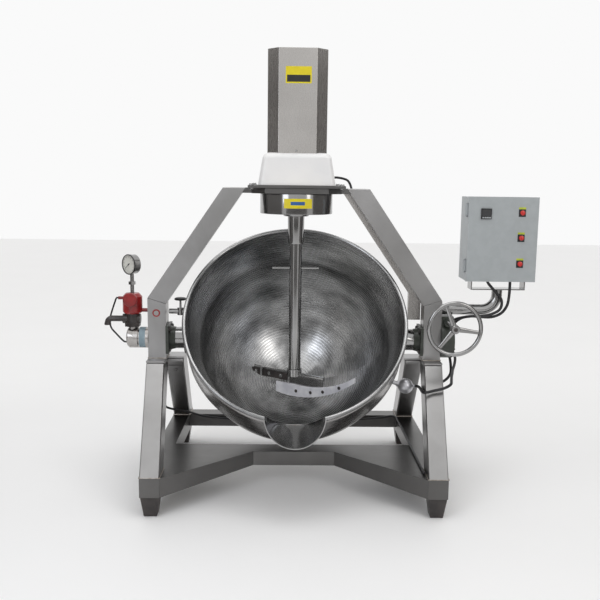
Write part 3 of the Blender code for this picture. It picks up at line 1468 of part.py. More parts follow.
def cable_duct():
    """Folded duct behind the right arm, from the head down to the bearing."""
    outer_line = TUBE + DUCT_PROUD
    low_x = COLUMN_INSIDE - DUCT_INSET - DUCT_WIDTH
    high_x = COLUMN_INSIDE - DUCT_INSET
    top = ARCH_HEIGHT - BEAM_HEIGHT - GAP

    def knee(x, inwards):
        """Height at which the arm's parallel line crosses an upright line."""
        return KNEE_HEIGHT + (COLUMN_OUTSIDE - inwards * ARM_LENGTH / ARM_RISE - x) * ARM_RISE / ARM_RUN

    inner_line = outer_line - DUCT_WIDTH
    outline = [
        (low_x, DUCT_BOTTOM),
        (high_x, DUCT_BOTTOM),
        (high_x, knee(high_x, inner_line)),
        (arm_x(top, inner_line), top),
        (arm_x(top, outer_line), top),
        (low_x, knee(low_x, outer_line)),
    ]
    back = HALF + GAP
    add("cable_duct", extruded(outline, back, back + DUCT_DEPTH, "XZ"), BRUSHED_STEEL, MACHINE)


# Steam supply outside the left column


def rotary_union():
    """Steam joint that stays still round the turning end of the left trunnion."""
    face = COLUMN_OUTSIDE + GAP
    end = face + UNION_LENGTH
    bore = TRUNNION_RADIUS + RUNNING_GAP
    inner_end = COLUMN_OUTSIDE + UNION_LENGTH / 2 + RUNNING_GAP
    ring = UNION_RING_RADIUS
    step = UNION_LENGTH / 10
    profile = [
        (0, end),
        (UNION_RADIUS - step / 2, end),
        (UNION_RADIUS, end - step / 2),
        (UNION_RADIUS, end - 3 * step),
        (ring, end - 3 * step),
        (ring, end - 5 * step),
        (UNION_RADIUS * 0.85, end - 5 * step),
        (UNION_RADIUS * 0.85, end - 7 * step),
        (ring, end - 7 * step),
        (ring, face),
        (bore, face),
        (bore, inner_end),
        (0, inner_end),
    ]
    place = (0, 0, TRUNNION_HEIGHT)
    mesh = turned(profile, 24, axis=(-1, 0, 0))
    union = add("rotary_union", mesh, BRUSHED_STEEL, MACHINE, place)
    rise = BLOCK_BOTTOM - TRUNNION_HEIGHT - GAP
    neck = cylinder((-VALVE_MIDDLE, 0, 0), (0, 0, 1), rise, STEAM_PIPE_RADIUS, sides=24)
    join(union, neck)
    foot = box(
        (-end + step, -UNION_RADIUS / 2, -UNION_RADIUS),
        (-face, UNION_RADIUS / 2, -bore - 2 * OVERLAP),
    )
    join(union, foot)
    smooth(union)


def steam_block():
    """Tee block over the union, with the discharge elbow to the left."""
    half = BLOCK_WIDTH / 2
    x = -VALVE_MIDDLE
    top = VALVE_BOTTOM - GAP
    body = cylinder((x, 0, BLOCK_BOTTOM), (0, 0, 1), top - BLOCK_BOTTOM, half * 0.7, sides=24)
    block = add("steam_block", body, DARK_CAST, MACHINE)
    hexes = cylinder((x, 0, BLOCK_BOTTOM), (0, 0, 1), (top - BLOCK_BOTTOM) / 3, half * 0.85, sides=6)
    cross = cylinder((x - half, 0, ELBOW_HEIGHT), (1, 0, 0), BLOCK_WIDTH * 0.9, half * 0.5, sides=24)
    join(block, hexes, cross)
    start = (x - half + OVERLAP, 0, ELBOW_HEIGHT)
    corner = (-ELBOW_REACH, 0, ELBOW_HEIGHT)
    end = (-ELBOW_REACH, 0, ELBOW_HEIGHT - ELBOW_DROP)
    points = [start, *bend(corner, start, end, ELBOW_RADIUS * 1.3, 6), end]
    rim = cylinder(end, (0, 0, 1), ELBOW_DROP / 3, ELBOW_RADIUS, sides=24)
    join(block, tube(points, ELBOW_RADIUS * 0.9, 3), rim)
    smooth(block)


def steam_valve():
    """Red valve body, with its branch to the column and a boss for the wheel."""
    x = -VALVE_MIDDLE
    radius = VALVE_BODY_RADIUS
    edge = radius / 6
    profile = [
        (0, VALVE_TOP),
        (radius * 0.7, VALVE_TOP),
        (radius, VALVE_TOP - 2 * edge),
        (radius, VALVE_BOTTOM + edge),
        (radius - edge, VALVE_BOTTOM),
        (0, VALVE_BOTTOM),
    ]
    valve = add("steam_valve", turned(profile, 32), RED_PAINT, MACHINE, (x, 0, 0))
    z = VALVE_BOTTOM + edge * 2
    reach = VALVE_MIDDLE - COLUMN_OUTSIDE - GAP
    branch = cylinder((0, 0, z), (1, 0, 0), reach, STEM_RADIUS, sides=20)
    boss = cylinder((0, 0, VALVE_WHEEL_HEIGHT), (0, -1, 0), radius + edge, VALVE_WHEEL_RADIUS / 2, sides=24)
    fitting_length = HOSE_FITTING + radius / 2
    fitting = cylinder(
        (-radius / 2, 0, VALVE_WHEEL_HEIGHT), (-1, 0, 0), fitting_length, HOSE_RADIUS * 2, sides=6
    )
    join(valve, branch, boss, fitting)
    smooth(valve)


def steam_valve_wheel():
    """Round knob on the valve's front, turning about its own stem."""
    front = VALVE_BODY_RADIUS + VALVE_BODY_RADIUS / 6 + GAP
    depth = VALVE_WHEEL_DEPTH
    grips = 8
    rings = []
    for level, share in ((0, 0.92), (depth / 4, 1), (depth * 3 / 4, 1), (depth, 0.9)):
        ring = []
        for i in range(grips * 6):
            angle = math.tau * i / (grips * 6)
            r = VALVE_WHEEL_RADIUS * share * (1 - 0.05 * (1 + math.cos(grips * angle)) / 2)
            ring.append((r * math.cos(angle), -level, r * math.sin(angle)))
        rings.append(ring)
    place = (-VALVE_MIDDLE, -front, VALVE_WHEEL_HEIGHT)
    smooth(add("steam_valve_wheel", lofted(rings), RED_PAINT, MACHINE, place))


def pressure_gauge():
    """Gauge on a stem with a nut, its dial turned towards the left."""
    base = VALVE_TOP + GAP
    radius = GAUGE_RADIUS
    rise = GAUGE_HEIGHT - base
    stem = cylinder((0, 0, base), (0, 0, 1), rise - radius * 0.8, STEM_RADIUS, sides=20)
    gauge = add("pressure_gauge", stem, BRUSHED_STEEL, MACHINE, (-VALVE_MIDDLE, 0, 0))
    nut = cylinder((0, 0, base + rise * 0.3), (0, 0, 1), STEM_RADIUS * 1.6, STEM_RADIUS * 1.9, sides=6)
    case = [
        (0, GAUGE_DEPTH / 2 - STEM_RADIUS / 3),
        (radius * 0.9, GAUGE_DEPTH / 2 - STEM_RADIUS / 3),
        (radius * 0.9, GAUGE_DEPTH / 2),
        (radius, GAUGE_DEPTH / 2),
        (radius, GAUGE_DEPTH / 4),
        (radius * 0.95, GAUGE_DEPTH / 4),
        (radius * 0.95, -GAUGE_DEPTH / 2),
        (0, -GAUGE_DEPTH / 2),
    ]
    facing = (math.sin(GAUGE_TURN), -math.cos(GAUGE_TURN), 0)
    dial = turned(case, 28, axis=facing, start=(0, 0, GAUGE_HEIGHT))
    join(gauge, nut, dial)
    smooth(gauge)


# On the kettle's flank: places are given in the photographed tilt, then turned back upright


def upright(y, z):
    """The kettle's own (y, z) of a point that lies at y, z from the trunnion axis when tilted."""
    c, s = math.cos(TILT_AT_REST), math.sin(TILT_AT_REST)
    return (y * c + z * s, -y * s + z * c)


def vent_valve():
    """Air vent of the jacket: a side tube, a body with a stem, and its wheel."""
    turn = (-TILT_AT_REST, 0, 0)
    z = VENT_HEIGHT
    inner = JACKET_RADIUS - 4 * JACKET_WALL
    reach = VENT_REACH - inner
    pipe = cylinder((-inner, 0, z), (-1, 0, 0), reach, VENT_SIDE_RADIUS, sides=24)
    valve = add("vent_valve", pipe, BRUSHED_STEEL, TILT, turn=turn)
    x = -VENT_STEM_PLACE
    body = cylinder((x, 0, z - VENT_BODY / 2), (0, 0, 1), VENT_BODY, VENT_SIDE_RADIUS * 1.25, sides=24)
    stem = cylinder((x, 0, z), (0, 0, 1), VENT_WHEEL_RISE - VENT_WHEEL / 2 - GAP, VENT_STEM_RADIUS, sides=16)
    nose = cylinder((-VENT_REACH + OVERLAP, 0, z), (-1, 0, 0), OVERLAP * 2, VENT_SIDE_RADIUS * 0.7, sides=24)
    join(valve, body, stem, nose)
    shell = jacket_blank()
    shell.transform(Matrix.Rotation(TILT_AT_REST, 4, "X"))
    cut(valve, shell)
    smooth(valve)

    wheel = lobed_wheel(VENT_WHEEL_RADIUS, VENT_WHEEL, 6)
    y_local, z_local = upright(0, z + VENT_WHEEL_RISE)
    smooth(add("vent_valve_wheel", wheel, BLACK_PLASTIC, TILT, (x, y_local, z_local), turn))


def lobed_wheel(radius, height, lobes):
    """A small hand knob with finger hollows round its edge, its axis upright."""
    rings = []
    for level, share in ((-1 / 2, 0.8), (-1 / 4, 1), (1 / 4, 1), (1 / 2, 0.7)):
        ring = []
        for i in range(lobes * 6):
            angle = math.tau * i / (lobes * 6)
            r = radius * share * (1 - 0.12 * (1 + math.cos(lobes * angle)) / 2)
            ring.append((r * math.cos(angle), r * math.sin(angle), height * level))
        rings.append(ring)
    return lofted(rings)


def probe_head():
    """Round terminal head of the temperature probe, on a nipple out of the jacket's dish."""
    turn = (-TILT_AT_REST, 0, 0)
    ball = bmesh.new()
    centre = Vector((PROBE_REACH, -PROBE_FORWARD, -PROBE_DROP))
    bmesh.ops.create_uvsphere(
        ball, u_segments=20, v_segments=10, radius=PROBE_BALL_RADIUS, matrix=Matrix.Translation(centre)
    )
    head = add("probe_head", from_bmesh(ball), POLISHED_STEEL, TILT, turn=turn)
    inwards = -centre.normalized()
    inwards = (inwards + Vector((PROBE_NECK_LEFT, 0, 0))).normalized()
    length = centre.length - JACKET_DISH_RADIUS * 0.97
    neck = cylinder(centre, inwards, length * 1.4, PROBE_NECK_RADIUS, sides=20)
    nut_start = centre + inwards * PROBE_BALL_RADIUS * PROBE_NUT_SHARE
    nut = cylinder(
        nut_start, inwards, PROBE_NECK_RADIUS, PROBE_NECK_RADIUS * PROBE_NUT_WIDTH, sides=6
    )
    gland_start = centre + Vector((PROBE_BALL_RADIUS * PROBE_GLAND_SHARE, 0, 0))
    gland = cylinder(gland_start, (1, 0, 0), PROBE_GLAND, CABLE_RADIUS * PROBE_GLAND_WIDTH, sides=20)
    join(head, neck, nut, gland)
    shell = jacket_blank()
    shell.transform(Matrix.Rotation(TILT_AT_REST, 4, "X"))
    cut(head, shell)
    smooth(head)


def add_leg_bracket(leg):
    """Plate with one bolt on the inner face of the rear left leg, near its head."""
    low, high = BRACKET_HEIGHT - BRACKET_SIDE / 2, BRACKET_HEIGHT + BRACKET_SIDE / 2
    outline = [
        (leg_inside(low) + OVERLAP, low),
        (leg_inside(high) + OVERLAP, high),
        (leg_inside(high) - BRACKET, high),
        (leg_inside(low) - BRACKET, low),
    ]
    middle = -leg_x(BRACKET_HEIGHT, 1)
    half = TUBE / 2 - TUBE_EDGE
    plate = extruded(outline, middle - half, middle + half, "YZ")
    out = (0, -1, -LEG_SLOPE)
    start = (middle, leg_inside(BRACKET_HEIGHT), BRACKET_HEIGHT)
    join(leg, plate, cylinder(start, out, 3 * BRACKET, BRACKET_BOLT_RADIUS, sides=6))


# Cables and the steam side's hose. Each way is a list of points its middle passes through.


def cable(name, way, radius=CABLE_RADIUS):
    add(name, round_curve(smooth_path(way, CABLE_STEP), radius), BLACK_RUBBER, MACHINE)


def rear_cable():
    """From between the left legs, down behind the kettle and forward along the right rail."""
    clear = CABLE_RADIUS + RUNNING_GAP
    top = CABLE_HANG
    lying = BASE_HEIGHT + CABLE_RADIUS + 2 * GAP
    beam_y = REAR_BEAM_BACK - TUBE - 2 * clear
    low = BASE_HEIGHT - 3 * clear
    fall = top - lying

    def beside_rail(y):
        return rail_x(y) - HALF - clear

    shares = [(0.70, 0.1), (0.42, 0.3), (0.23, 0.62)]
    down = [(-leg_x(top, -1) + clear, 0, top)]
    down += [(-leg_x(top, -1), beam_y * y, lying + fall * z) for z, y in shares]
    behind = [
        (-rail_x(beam_y) + TUBE / 2 + clear, beam_y - 6 * clear, lying + 3 * clear),
        (-rail_x(beam_y) + 3 * TUBE / 2, beam_y, BASE_HEIGHT - clear),
        (-rail_x(beam_y) / 2, beam_y, low),
        (0, beam_y, low - 2 * clear),
        (rail_x(beam_y) / 2, beam_y, low),
        (rail_x(beam_y) - 3 * TUBE / 2, beam_y, BASE_HEIGHT - clear),
        (beside_rail(beam_y) - clear, beam_y - 2 * clear, lying),
    ]
    places = [beam_y * 3 / 4, beam_y / 4, -CROSS_BACK, -BASE_DEPTH / 3]
    ends = -BASE_DEPTH / 2 + TUBE * 3 / 4
    forward = [(beside_rail(y), y, lying) for y in [*places, ends]]
    cable("rear_cable", [*down, *behind, *forward])


def bundle_points(out):
    """The loop both cables make behind and below the gearbox; out keeps them apart."""
    x = GEAR_MIDDLE + WORM_RADIUS * 4 / 3 + out
    z = TRUNNION_HEIGHT
    return [
        (x + TUBE / 8, TUBE / 2, z + TUBE),
        (x, TUBE * 5 / 4, z + TUBE / 3),
        (x, TUBE * 5 / 4, z - TUBE / 2),
        (x + TUBE / 6, TUBE * 2 / 3, z - TUBE * 5 / 4),
    ]


def probe_cable():
    """From the control box along its pipe, round the gearbox and across the leg to the probe."""
    clear = THICK_CABLE_RADIUS + RUNNING_GAP
    front = -TRAY_DEPTH / 2 - clear
    under = PIPE_HEIGHT - PIPE_RADIUS - clear
    top = BOX_BOTTOM + BOX_WALL - 2 * GAP
    right = PIPE_MIDDLE + PIPE_BEND * 2 / 3
    down = [
        (right, front, top),
        (right, front, top - 2 * clear),
        (right, front, top - TRAY_HEIGHT - clear),
        (right - clear, front, PIPE_HEIGHT + PIPE_RADIUS),
        (PIPE_MIDDLE, front + 2 * clear, under + clear),
        (PIPE_MIDDLE - PIPE_BEND, front / 3, under),
        ((PIPE_MIDDLE + COLUMN_OUTSIDE) / 2, 0, under),
    ]
    z = TRUNNION_HEIGHT - PROBE_DROP
    inner = leg_x(z, -1) - HALF - clear
    outer = leg_x(z, -1) + HALF + 3 * clear
    front_leg = -leg_inside(z) - LEG_THICKNESS
    gland = PROBE_REACH + PROBE_BALL_RADIUS * PROBE_GLAND_SHARE + PROBE_GLAND + GAP
    turned_in = -PROBE_FORWARD - THICK_CABLE_RADIUS
    across = [
        (outer + TUBE * 2 / 3, 0, z + TUBE * 4 / 5),
        (outer + TUBE / 3, front_leg / 2, z + TUBE * 3 / 5),
        (outer, front_leg + clear, z + TUBE * 2 / 5),
        (leg_x(z, -1), front_leg - clear, z + TUBE / 5),
        (inner, front_leg - 2 * clear, z + clear),
        (inner, (front_leg - PROBE_FORWARD) / 2, z),
        (inner - clear / 4, turned_in - clear, z),
        (gland + THICK_CABLE_RADIUS, -PROBE_FORWARD, z),
        (gland, -PROBE_FORWARD, z),
    ]
    cable("probe_cable", [*down, *bundle_points(3 * clear), *across], THICK_CABLE_RADIUS)


def box_cable():
    """From the control box along its pipe and round the gearbox, in between the right legs."""
    clear = THICK_CABLE_RADIUS + RUNNING_GAP
    front = -TRAY_DEPTH / 2 - clear
    under = PIPE_HEIGHT - PIPE_RADIUS
    top = BOX_BOTTOM + BOX_WALL - 2 * GAP
    down = [
        (PIPE_MIDDLE - PIPE_BEND * 4 / 5, front, top),
        (PIPE_MIDDLE - PIPE_BEND * 4 / 5, front, top - clear),
        (PIPE_MIDDLE - PIPE_RADIUS, front, top - TRAY_HEIGHT),
        (PIPE_MIDDLE + PIPE_RADIUS / 2, front, PIPE_HEIGHT + PIPE_RADIUS * 2),
        (PIPE_MIDDLE, front, PIPE_HEIGHT),
        (PIPE_MIDDLE - PIPE_BEND, front + clear, under),
        ((PIPE_MIDDLE + COLUMN_OUTSIDE) / 2, -3 * clear, under - clear / 2),
    ]
    low = CABLE_HANG - TUBE / 2
    inwards = [
        (COLUMN_OUTSIDE + TUBE * 3 / 4, TUBE / 6, low + TUBE / 2),
        (COLUMN_OUTSIDE + TUBE / 3, 0, low + clear),
        (COLUMN_X + clear, 0, low - clear),
    ]
    cable("box_cable", [*down, *bundle_points(0), *inwards], THICK_CABLE_RADIUS)


def head_cable():
    """From the side of the white cover into the top of the duct."""
    z = HEAD_PLATE_TOP + COVER_HEIGHT / 4
    y = COVER_BOTTOM_DEPTH / 4
    narrow = (COVER_BOTTOM_WIDTH - COVER_TOP_WIDTH) / 8
    start = COVER_BOTTOM_WIDTH / 2 - narrow + RUNNING_GAP / 2
    duct_top = ARCH_HEIGHT - BEAM_HEIGHT
    end_x = arm_x(duct_top, TUBE + DUCT_PROUD - DUCT_WIDTH / 2)
    end_y = HALF + GAP + DUCT_DEPTH / 2
    way = [
        (start, y, z),
        (start + TUBE / 2, y, z),
        (end_x, (y + end_y) / 2, z - TUBE / 4),
        (end_x, end_y, duct_top + 4 * CABLE_RADIUS),
        (end_x, end_y, duct_top + 2 * CABLE_RADIUS),
        (end_x, end_y, duct_top + GAP),
    ]
    cable("head_cable", way)


def steam_hose():
    """Thin hose from a fitting on the valve, round the elbow, back to the union."""
    start = -VALVE_MIDDLE - VALVE_BODY_RADIUS - HOSE_FITTING - GAP
    z = VALVE_WHEEL_HEIGHT
    reach = -ELBOW_REACH + 2 * HOSE_RADIUS
    aside = ELBOW_RADIUS + 2 * HOSE_RADIUS
    end = -COLUMN_OUTSIDE - UNION_LENGTH - 2 * GAP
    way = [
        (start, 0, z),
        (start - HOSE_RADIUS * 2, 0, z),
        (start - HOSE_FITTING, aside / 2, (z + ELBOW_HEIGHT) / 2 + aside),
        (reach, aside, ELBOW_HEIGHT + HOSE_RADIUS),
        (reach, aside, (ELBOW_HEIGHT + TRUNNION_HEIGHT) / 2),
        (end - HOSE_FITTING, aside / 4, TRUNNION_HEIGHT - UNION_RADIUS / 2),
        (end - HOSE_RADIUS, 0, TRUNNION_HEIGHT - UNION_RADIUS / 2),
        (end, 0, TRUNNION_HEIGHT - UNION_RADIUS / 2),
    ]
    cable("steam_hose", way, HOSE_RADIUS)


base_frame()
feet()
legs()
columns_and_arms()
top_beam()
head_plate_and_cover()
motor_hood()
gear_drum()
drive_motor()
lift_jack()
lift_yoke()
drive_sleeve()
stirrer_shaft()
scraper()
kettle_bowl()
spout()
kettle_jacket()
trunnions()
bearings()
worm_wheel()
worm_shaft()
gearbox()
handwheel()
control_box()
box_door()
door_controls()
box_support()
cable_duct()
rotary_union()
steam_block()
steam_valve()
steam_valve_wheel()
pressure_gauge()
vent_valve()
probe_head()
rear_cable()
probe_cable()
box_cable()
head_cable()
steam_hose()
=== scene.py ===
# %% [markdown]
# # A steam jacketed kettle
#
# A tilting cooking kettle hangs between two columns. An arch over it carries the stirring head.
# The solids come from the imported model, in metres. This file dresses them: round pieces are
# worked out again with numpy so that they are truly round, sheet and tube get soft edges, and
# every surface gets the finish of the real material.

import json
import math

import bmesh
import bpy
import numpy as np
from mathutils import Matrix, Vector

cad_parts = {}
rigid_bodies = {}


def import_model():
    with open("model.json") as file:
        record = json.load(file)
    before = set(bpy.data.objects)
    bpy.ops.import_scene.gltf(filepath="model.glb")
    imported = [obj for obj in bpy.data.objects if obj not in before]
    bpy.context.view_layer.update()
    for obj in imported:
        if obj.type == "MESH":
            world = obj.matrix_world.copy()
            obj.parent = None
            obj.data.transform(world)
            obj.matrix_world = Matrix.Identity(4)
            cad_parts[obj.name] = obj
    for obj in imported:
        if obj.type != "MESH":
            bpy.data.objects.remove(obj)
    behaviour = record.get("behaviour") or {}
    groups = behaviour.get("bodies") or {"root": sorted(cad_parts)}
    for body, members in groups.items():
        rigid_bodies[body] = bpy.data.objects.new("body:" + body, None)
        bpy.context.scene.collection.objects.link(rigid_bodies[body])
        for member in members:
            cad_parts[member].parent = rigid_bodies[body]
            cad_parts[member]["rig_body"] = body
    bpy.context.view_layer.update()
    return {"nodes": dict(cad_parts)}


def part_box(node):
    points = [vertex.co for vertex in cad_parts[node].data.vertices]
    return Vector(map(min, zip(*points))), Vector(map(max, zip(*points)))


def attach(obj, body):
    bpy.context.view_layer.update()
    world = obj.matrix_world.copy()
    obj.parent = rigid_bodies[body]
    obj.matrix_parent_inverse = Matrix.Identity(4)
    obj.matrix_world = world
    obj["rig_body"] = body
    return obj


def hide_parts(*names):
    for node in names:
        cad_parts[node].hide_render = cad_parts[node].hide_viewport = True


for leftover in list(bpy.data.objects):
    bpy.data.objects.remove(leftover, do_unlink=True)
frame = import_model()

# %% [markdown]
# The model's origin lies under the middle of its outline. The kettle's own axis stands a little
# to the left of that, so most sizes are written from the kettle and moved by one vector.

# %% Where the kettle stands, and how it tilts
SLEEVE_LOW, SLEEVE_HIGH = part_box("drive_sleeve")
MACHINE = np.array([(SLEEVE_LOW.x + SLEEVE_HIGH.x) / 2, (SLEEVE_LOW.y + SLEEVE_HIGH.y) / 2, 0])
TRUNNION_HEIGHT = 0.665
TILT = math.radians(49)
GAP = 0.0003
MM = 0.001
print("kettle axis at", MACHINE.round(4))


def placed(name, data):
    """A new object of this data, in the scene."""
    made = bpy.data.objects.new(name, data)
    bpy.context.scene.collection.objects.link(made)
    return made


def from_machine(node):
    """The low and high corners of a node's box, from the kettle's axis on the floor."""
    low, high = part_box(node)
    return np.array(low) - MACHINE, np.array(high) - MACHINE


def on_machine(points):
    """Points given from the kettle's axis on the floor, in the model's own frame."""
    return np.asarray(points, float) + MACHINE


def on_kettle(points):
    """Points of the upright kettle, turned by the tilt about the trunnion axis and put in place."""
    points = np.asarray(points, float)
    c, s = math.cos(TILT), math.sin(TILT)
    x, y, z = points[..., 0], points[..., 1], points[..., 2]
    turned = np.stack([x, y * c - z * s, y * s + z * c], axis=-1)
    return turned + MACHINE + [0, 0, TRUNNION_HEIGHT]


# %% [markdown]
# The camera stands at head height in front of the kettle and looks slightly down, as the
# photograph does. It is made first, with the cables, because the two must agree.

# %% Camera
CAMERA_PLACE = MACHINE + [-0.035, -3.588, 1.405]
CAMERA_DOWN = 0.154
CAMERA_RIGHT = 0.016
CAMERA_ROLL = 0.0125
LENS_MM = 46.8

lens = bpy.data.cameras.new("camera")
lens.lens = LENS_MM
lens.sensor_width = 36
camera = placed("camera", lens)
look = Matrix.Rotation(-CAMERA_RIGHT, 4, "Z") @ Matrix.Rotation(math.pi / 2 - CAMERA_DOWN, 4, "X")
camera.matrix_world = Matrix.Translation(CAMERA_PLACE) @ look @ Matrix.Rotation(CAMERA_ROLL, 4, "Z")
bpy.context.scene.camera = camera
bpy.context.scene.view_settings.view_transform = "Standard"

# %% [markdown]
# A material is a small graph of nodes. One function adds a node, sets it and links it, so that
# each finish below reads as a list of what it is made of.

# %% Colours and nodes
def linear(code):
    """The linear colour of an sRGB hex code."""
    parts = [int(code[i : i + 2], 16) / 255 for i in (1, 3, 5)]
    return (*[p / 12.92 if p <= 0.04045 else ((p + 0.055) / 1.055) ** 2.4 for p in parts], 1)


def put(tree, kind, inputs, **settings):
    """Adds a node; inputs maps its sockets to values, or to outputs of other nodes."""
    made = tree.nodes.new(kind)
    for key, value in settings.items():
        setattr(made, key, value)
    for key, value in inputs.items():
        if isinstance(value, bpy.types.NodeSocket):
            tree.links.new(value, made.inputs[key])
        else:
            made.inputs[key].default_value = value
    return made


def finish(name, **sockets):
    """A Principled material; returns it with its tree, its shader and Object coordinates."""
    made = bpy.data.materials.new(name)
    made.use_nodes = True
    tree = made.node_tree
    shader = tree.nodes["Principled BSDF"]
    for key, value in sockets.items():
        shader.inputs[key.replace("_", " ")].default_value = value
    where = tree.nodes.new("ShaderNodeTexCoord")
    return made, tree, shader, where.outputs


# %% [markdown]
# Every finish takes the same few steps: a noise, its range, two colours and a bump.

# %% Textures
def noise(tree, place, scale, detail):
    """The grey of a noise texture at a place."""
    inputs = {"Vector": place, "Scale": scale, "Detail": detail}
    return put(tree, "ShaderNodeTexNoise", inputs).outputs["Fac"]


def remap(tree, value, source=(0, 1), target=(0, 1)):
    """A value carried from one range to another."""
    ends = dict(zip(("From Min", "From Max", "To Min", "To Max"), (*source, *target)))
    return put(tree, "ShaderNodeMapRange", {"Value": value, **ends}).outputs[0]


def between(tree, share, first, second):
    """A colour that goes from the first to the second as the share grows."""
    inputs = {0: share, 6: first, 7: second}
    return put(tree, "ShaderNodeMix", inputs, data_type="RGBA").outputs[2]


def surface(tree, shader, colour, rough, height, strength, depth):
    """Gives a shader its colour, its roughness and a bump of this depth."""
    bump = put(tree, "ShaderNodeBump", {"Height": height, "Strength": strength, "Distance": depth})
    for key, value in (("Base Color", colour), ("Roughness", rough), ("Normal", bump.outputs[0])):
        tree.links.new(value, shader.inputs[key])


# %% [markdown]
# Stainless steel is one metal with many faces. A belt leaves long fine scratches, a lathe leaves
# rings, and blasting leaves an even grey. All of them are a stretched noise that moves the
# roughness and the height a little, over slow clouds that move the colour.

# %% Stainless steels
GRAIN_SPREAD = 0.3  # how far the grain moves the roughness
STEEL_CLOUDS = (0.3, 0.7)


def steel(name, pale, dark, rough, grain, stretch, depth, cloud, by="Object"):
    """Steel with grain this many metres wide, stretched by three factors, and slow clouds."""
    made, tree, shader, where = finish(name, Metallic=1.0)
    along = put(tree, "ShaderNodeMapping", {"Vector": where[by], "Scale": stretch})
    lines = noise(tree, along.outputs[0], 1 / grain, 3.0)
    clouds = remap(tree, noise(tree, where["Object"], 1 / cloud, 4.0), STEEL_CLOUDS)
    tint = between(tree, clouds, linear(pale), linear(dark))
    roughness = remap(tree, lines, target=(rough * (1 - GRAIN_SPREAD), rough * (1 + GRAIN_SPREAD)))
    surface(tree, shader, tint, roughness, lines, 0.5, depth)
    return made


# Ground and wiped square tube: grey with a violet cast, no sharp reflections
SATIN = steel("belt_ground_stainless", "#a9a8a8", "#939291", 0.34, 2.5 * MM, (1, 1, 0.06), 0.05 * MM, 0.3)
# The same ground tube with its grain along x, in a darker grey: painted shade for the level parts of the
# frame
SATIN_PAINTED_SHADE = steel(
    "belt_ground_stainless_painted_shade", "#706f6e", "#605f5e", 0.34, 2.5 * MM, (0.06, 1, 1), 0.05 * MM, 0.3
)
# Folded sheet of the hood: brushed upwards, brownish where it turns from the light
BRUSHED = steel(
    "brushed_stainless_sheet", "#bdbab7", "#a8a5a2", 0.27, 1.6 * MM, (1, 1, 0.03), 0.012 * MM, 0.3
)
# Turned and buffed steel of drum, shaft and handwheel
BUFFED = steel(
    "buffed_stainless", "#a4a4a4", "#8e8d8c", 0.13, 1.2 * MM, (0.02, 1, 1), 0.012 * MM, 0.25, by="UV"
)
BUFFED_PLAIN = steel("buffed_stainless_forged", "#a6a6a6", "#8f8e8d", 0.16, 3 * MM, (1, 1, 1), 0.02 * MM, 0.2)
JACKET_STEEL = steel(
    "jacket_stainless", "#a8a6a5", "#8d8b8a", 0.26, 2.0 * MM, (0.02, 1, 1), 0.05 * MM, 0.15, by="UV"
)

# %% [markdown]
# The bowl's inside shows rings from spinning and a fine hammered sparkle. A wave across the
# unrolled surface gives the rings and a cell texture gives the flats of the hammer.

# %% The bowl's inside
RING_PITCH = 13 * MM
RINGS_PER_SCALE = 20 / math.tau  # bands in a unit of a wave texture whose scale is 1
HAMMER_FLAT = 14 * MM
HAMMER_SHARE = 0.35  # how high a flat stands against a ring
BOWL_DEPTH = 0.3 * MM
BOWL_ROUGH = (0.2, 0.34)
# Slow light and dark arcs round the bowl's inside are painted reflection and shade
REFLECTION_ARC_STRETCH, REFLECTION_ARC_SCALE, REFLECTION_ARC_RANGE = (0.35, 1, 1), 7.0, (0.36, 0.62)


def hammered_bowl():
    """Steel with rings over its unrolled surface, hammered flats and slow arcs of painted reflection and
    shade.
    """
    made, tree, shader, where = finish("spun_hammered_bowl_painted_reflection", Metallic=1.0)
    pitch = {"Scale": 1 / RINGS_PER_SCALE / RING_PITCH, "Distortion": 1.2, "Detail": 2.0}
    wave = put(tree, "ShaderNodeTexWave", {"Vector": where["UV"], **pitch}, bands_direction="Y")
    rings = wave.outputs["Fac"]
    size = {"Vector": where["Object"], "Scale": 1 / HAMMER_FLAT}
    flats = put(tree, "ShaderNodeTexVoronoi", size).outputs["Distance"]
    # The tint in arcs round the bowl is painted reflection and shade
    reflection_arc_place = put(tree, "ShaderNodeMapping", {"Vector": where["UV"], "Scale": REFLECTION_ARC_STRETCH})
    painted_reflection_bands = remap(tree, noise(tree, reflection_arc_place.outputs[0], REFLECTION_ARC_SCALE, 3.0), REFLECTION_ARC_RANGE)
    tint = between(tree, painted_reflection_bands, linear("#cfcfcf"), linear("#7a7a7a"))
    parts = {0: flats, 1: HAMMER_SHARE, 2: rings}
    height = put(tree, "ShaderNodeMath", parts, operation="MULTIPLY_ADD").outputs[0]
    surface(tree, shader, tint, remap(tree, rings, target=BOWL_ROUGH), height, 0.5, BOWL_DEPTH)
    return made


BOWL_STEEL = hammered_bowl()

# %% [markdown]
# Paint, plastic and rubber differ in how rough they are and in the size of their texture. One
# function mixes two close colours by a noise and lifts the surface by the same noise.

# %% Paints, plastics, rubber, iron and bronze
COAT_SPREAD = 0.2  # how far the texture moves the roughness
COAT_CLOUDS = (0.35, 0.65)


def coat(name, pale, dark, rough, size, depth, metal=0.0, gloss=0.0):
    """A skin of two close colours with a texture of this size and depth."""
    made, tree, shader, where = finish(name, Metallic=metal, Coat_Weight=gloss)
    fine = noise(tree, where["Object"], 1 / size, 4.0)
    clouds = remap(tree, noise(tree, where["Object"], 0.1 / size, 3.0), COAT_CLOUDS)
    tint = between(tree, clouds, linear(pale), linear(dark))
    roughness = remap(tree, fine, target=(rough * (1 - COAT_SPREAD), rough * (1 + COAT_SPREAD)))
    surface(tree, shader, tint, roughness, fine, 0.6, depth)
    return made


# Sand-cast iron under thin green-grey enamel
IRON = coat("enamelled_cast_iron", "#3b4038", "#262a26", 0.5, 4 * MM, 0.35 * MM, gloss=0.2)
BRONZE = coat("machined_bronze", "#b98a4f", "#8f6532", 0.32, 2 * MM, 0.05 * MM, metal=1.0)
# White enamelled cover with slight waves in the sheet
WHITE = coat("white_enamelled_sheet", "#eceae6", "#d9d9da", 0.32, 45 * MM, 2.4 * MM, gloss=0.15)
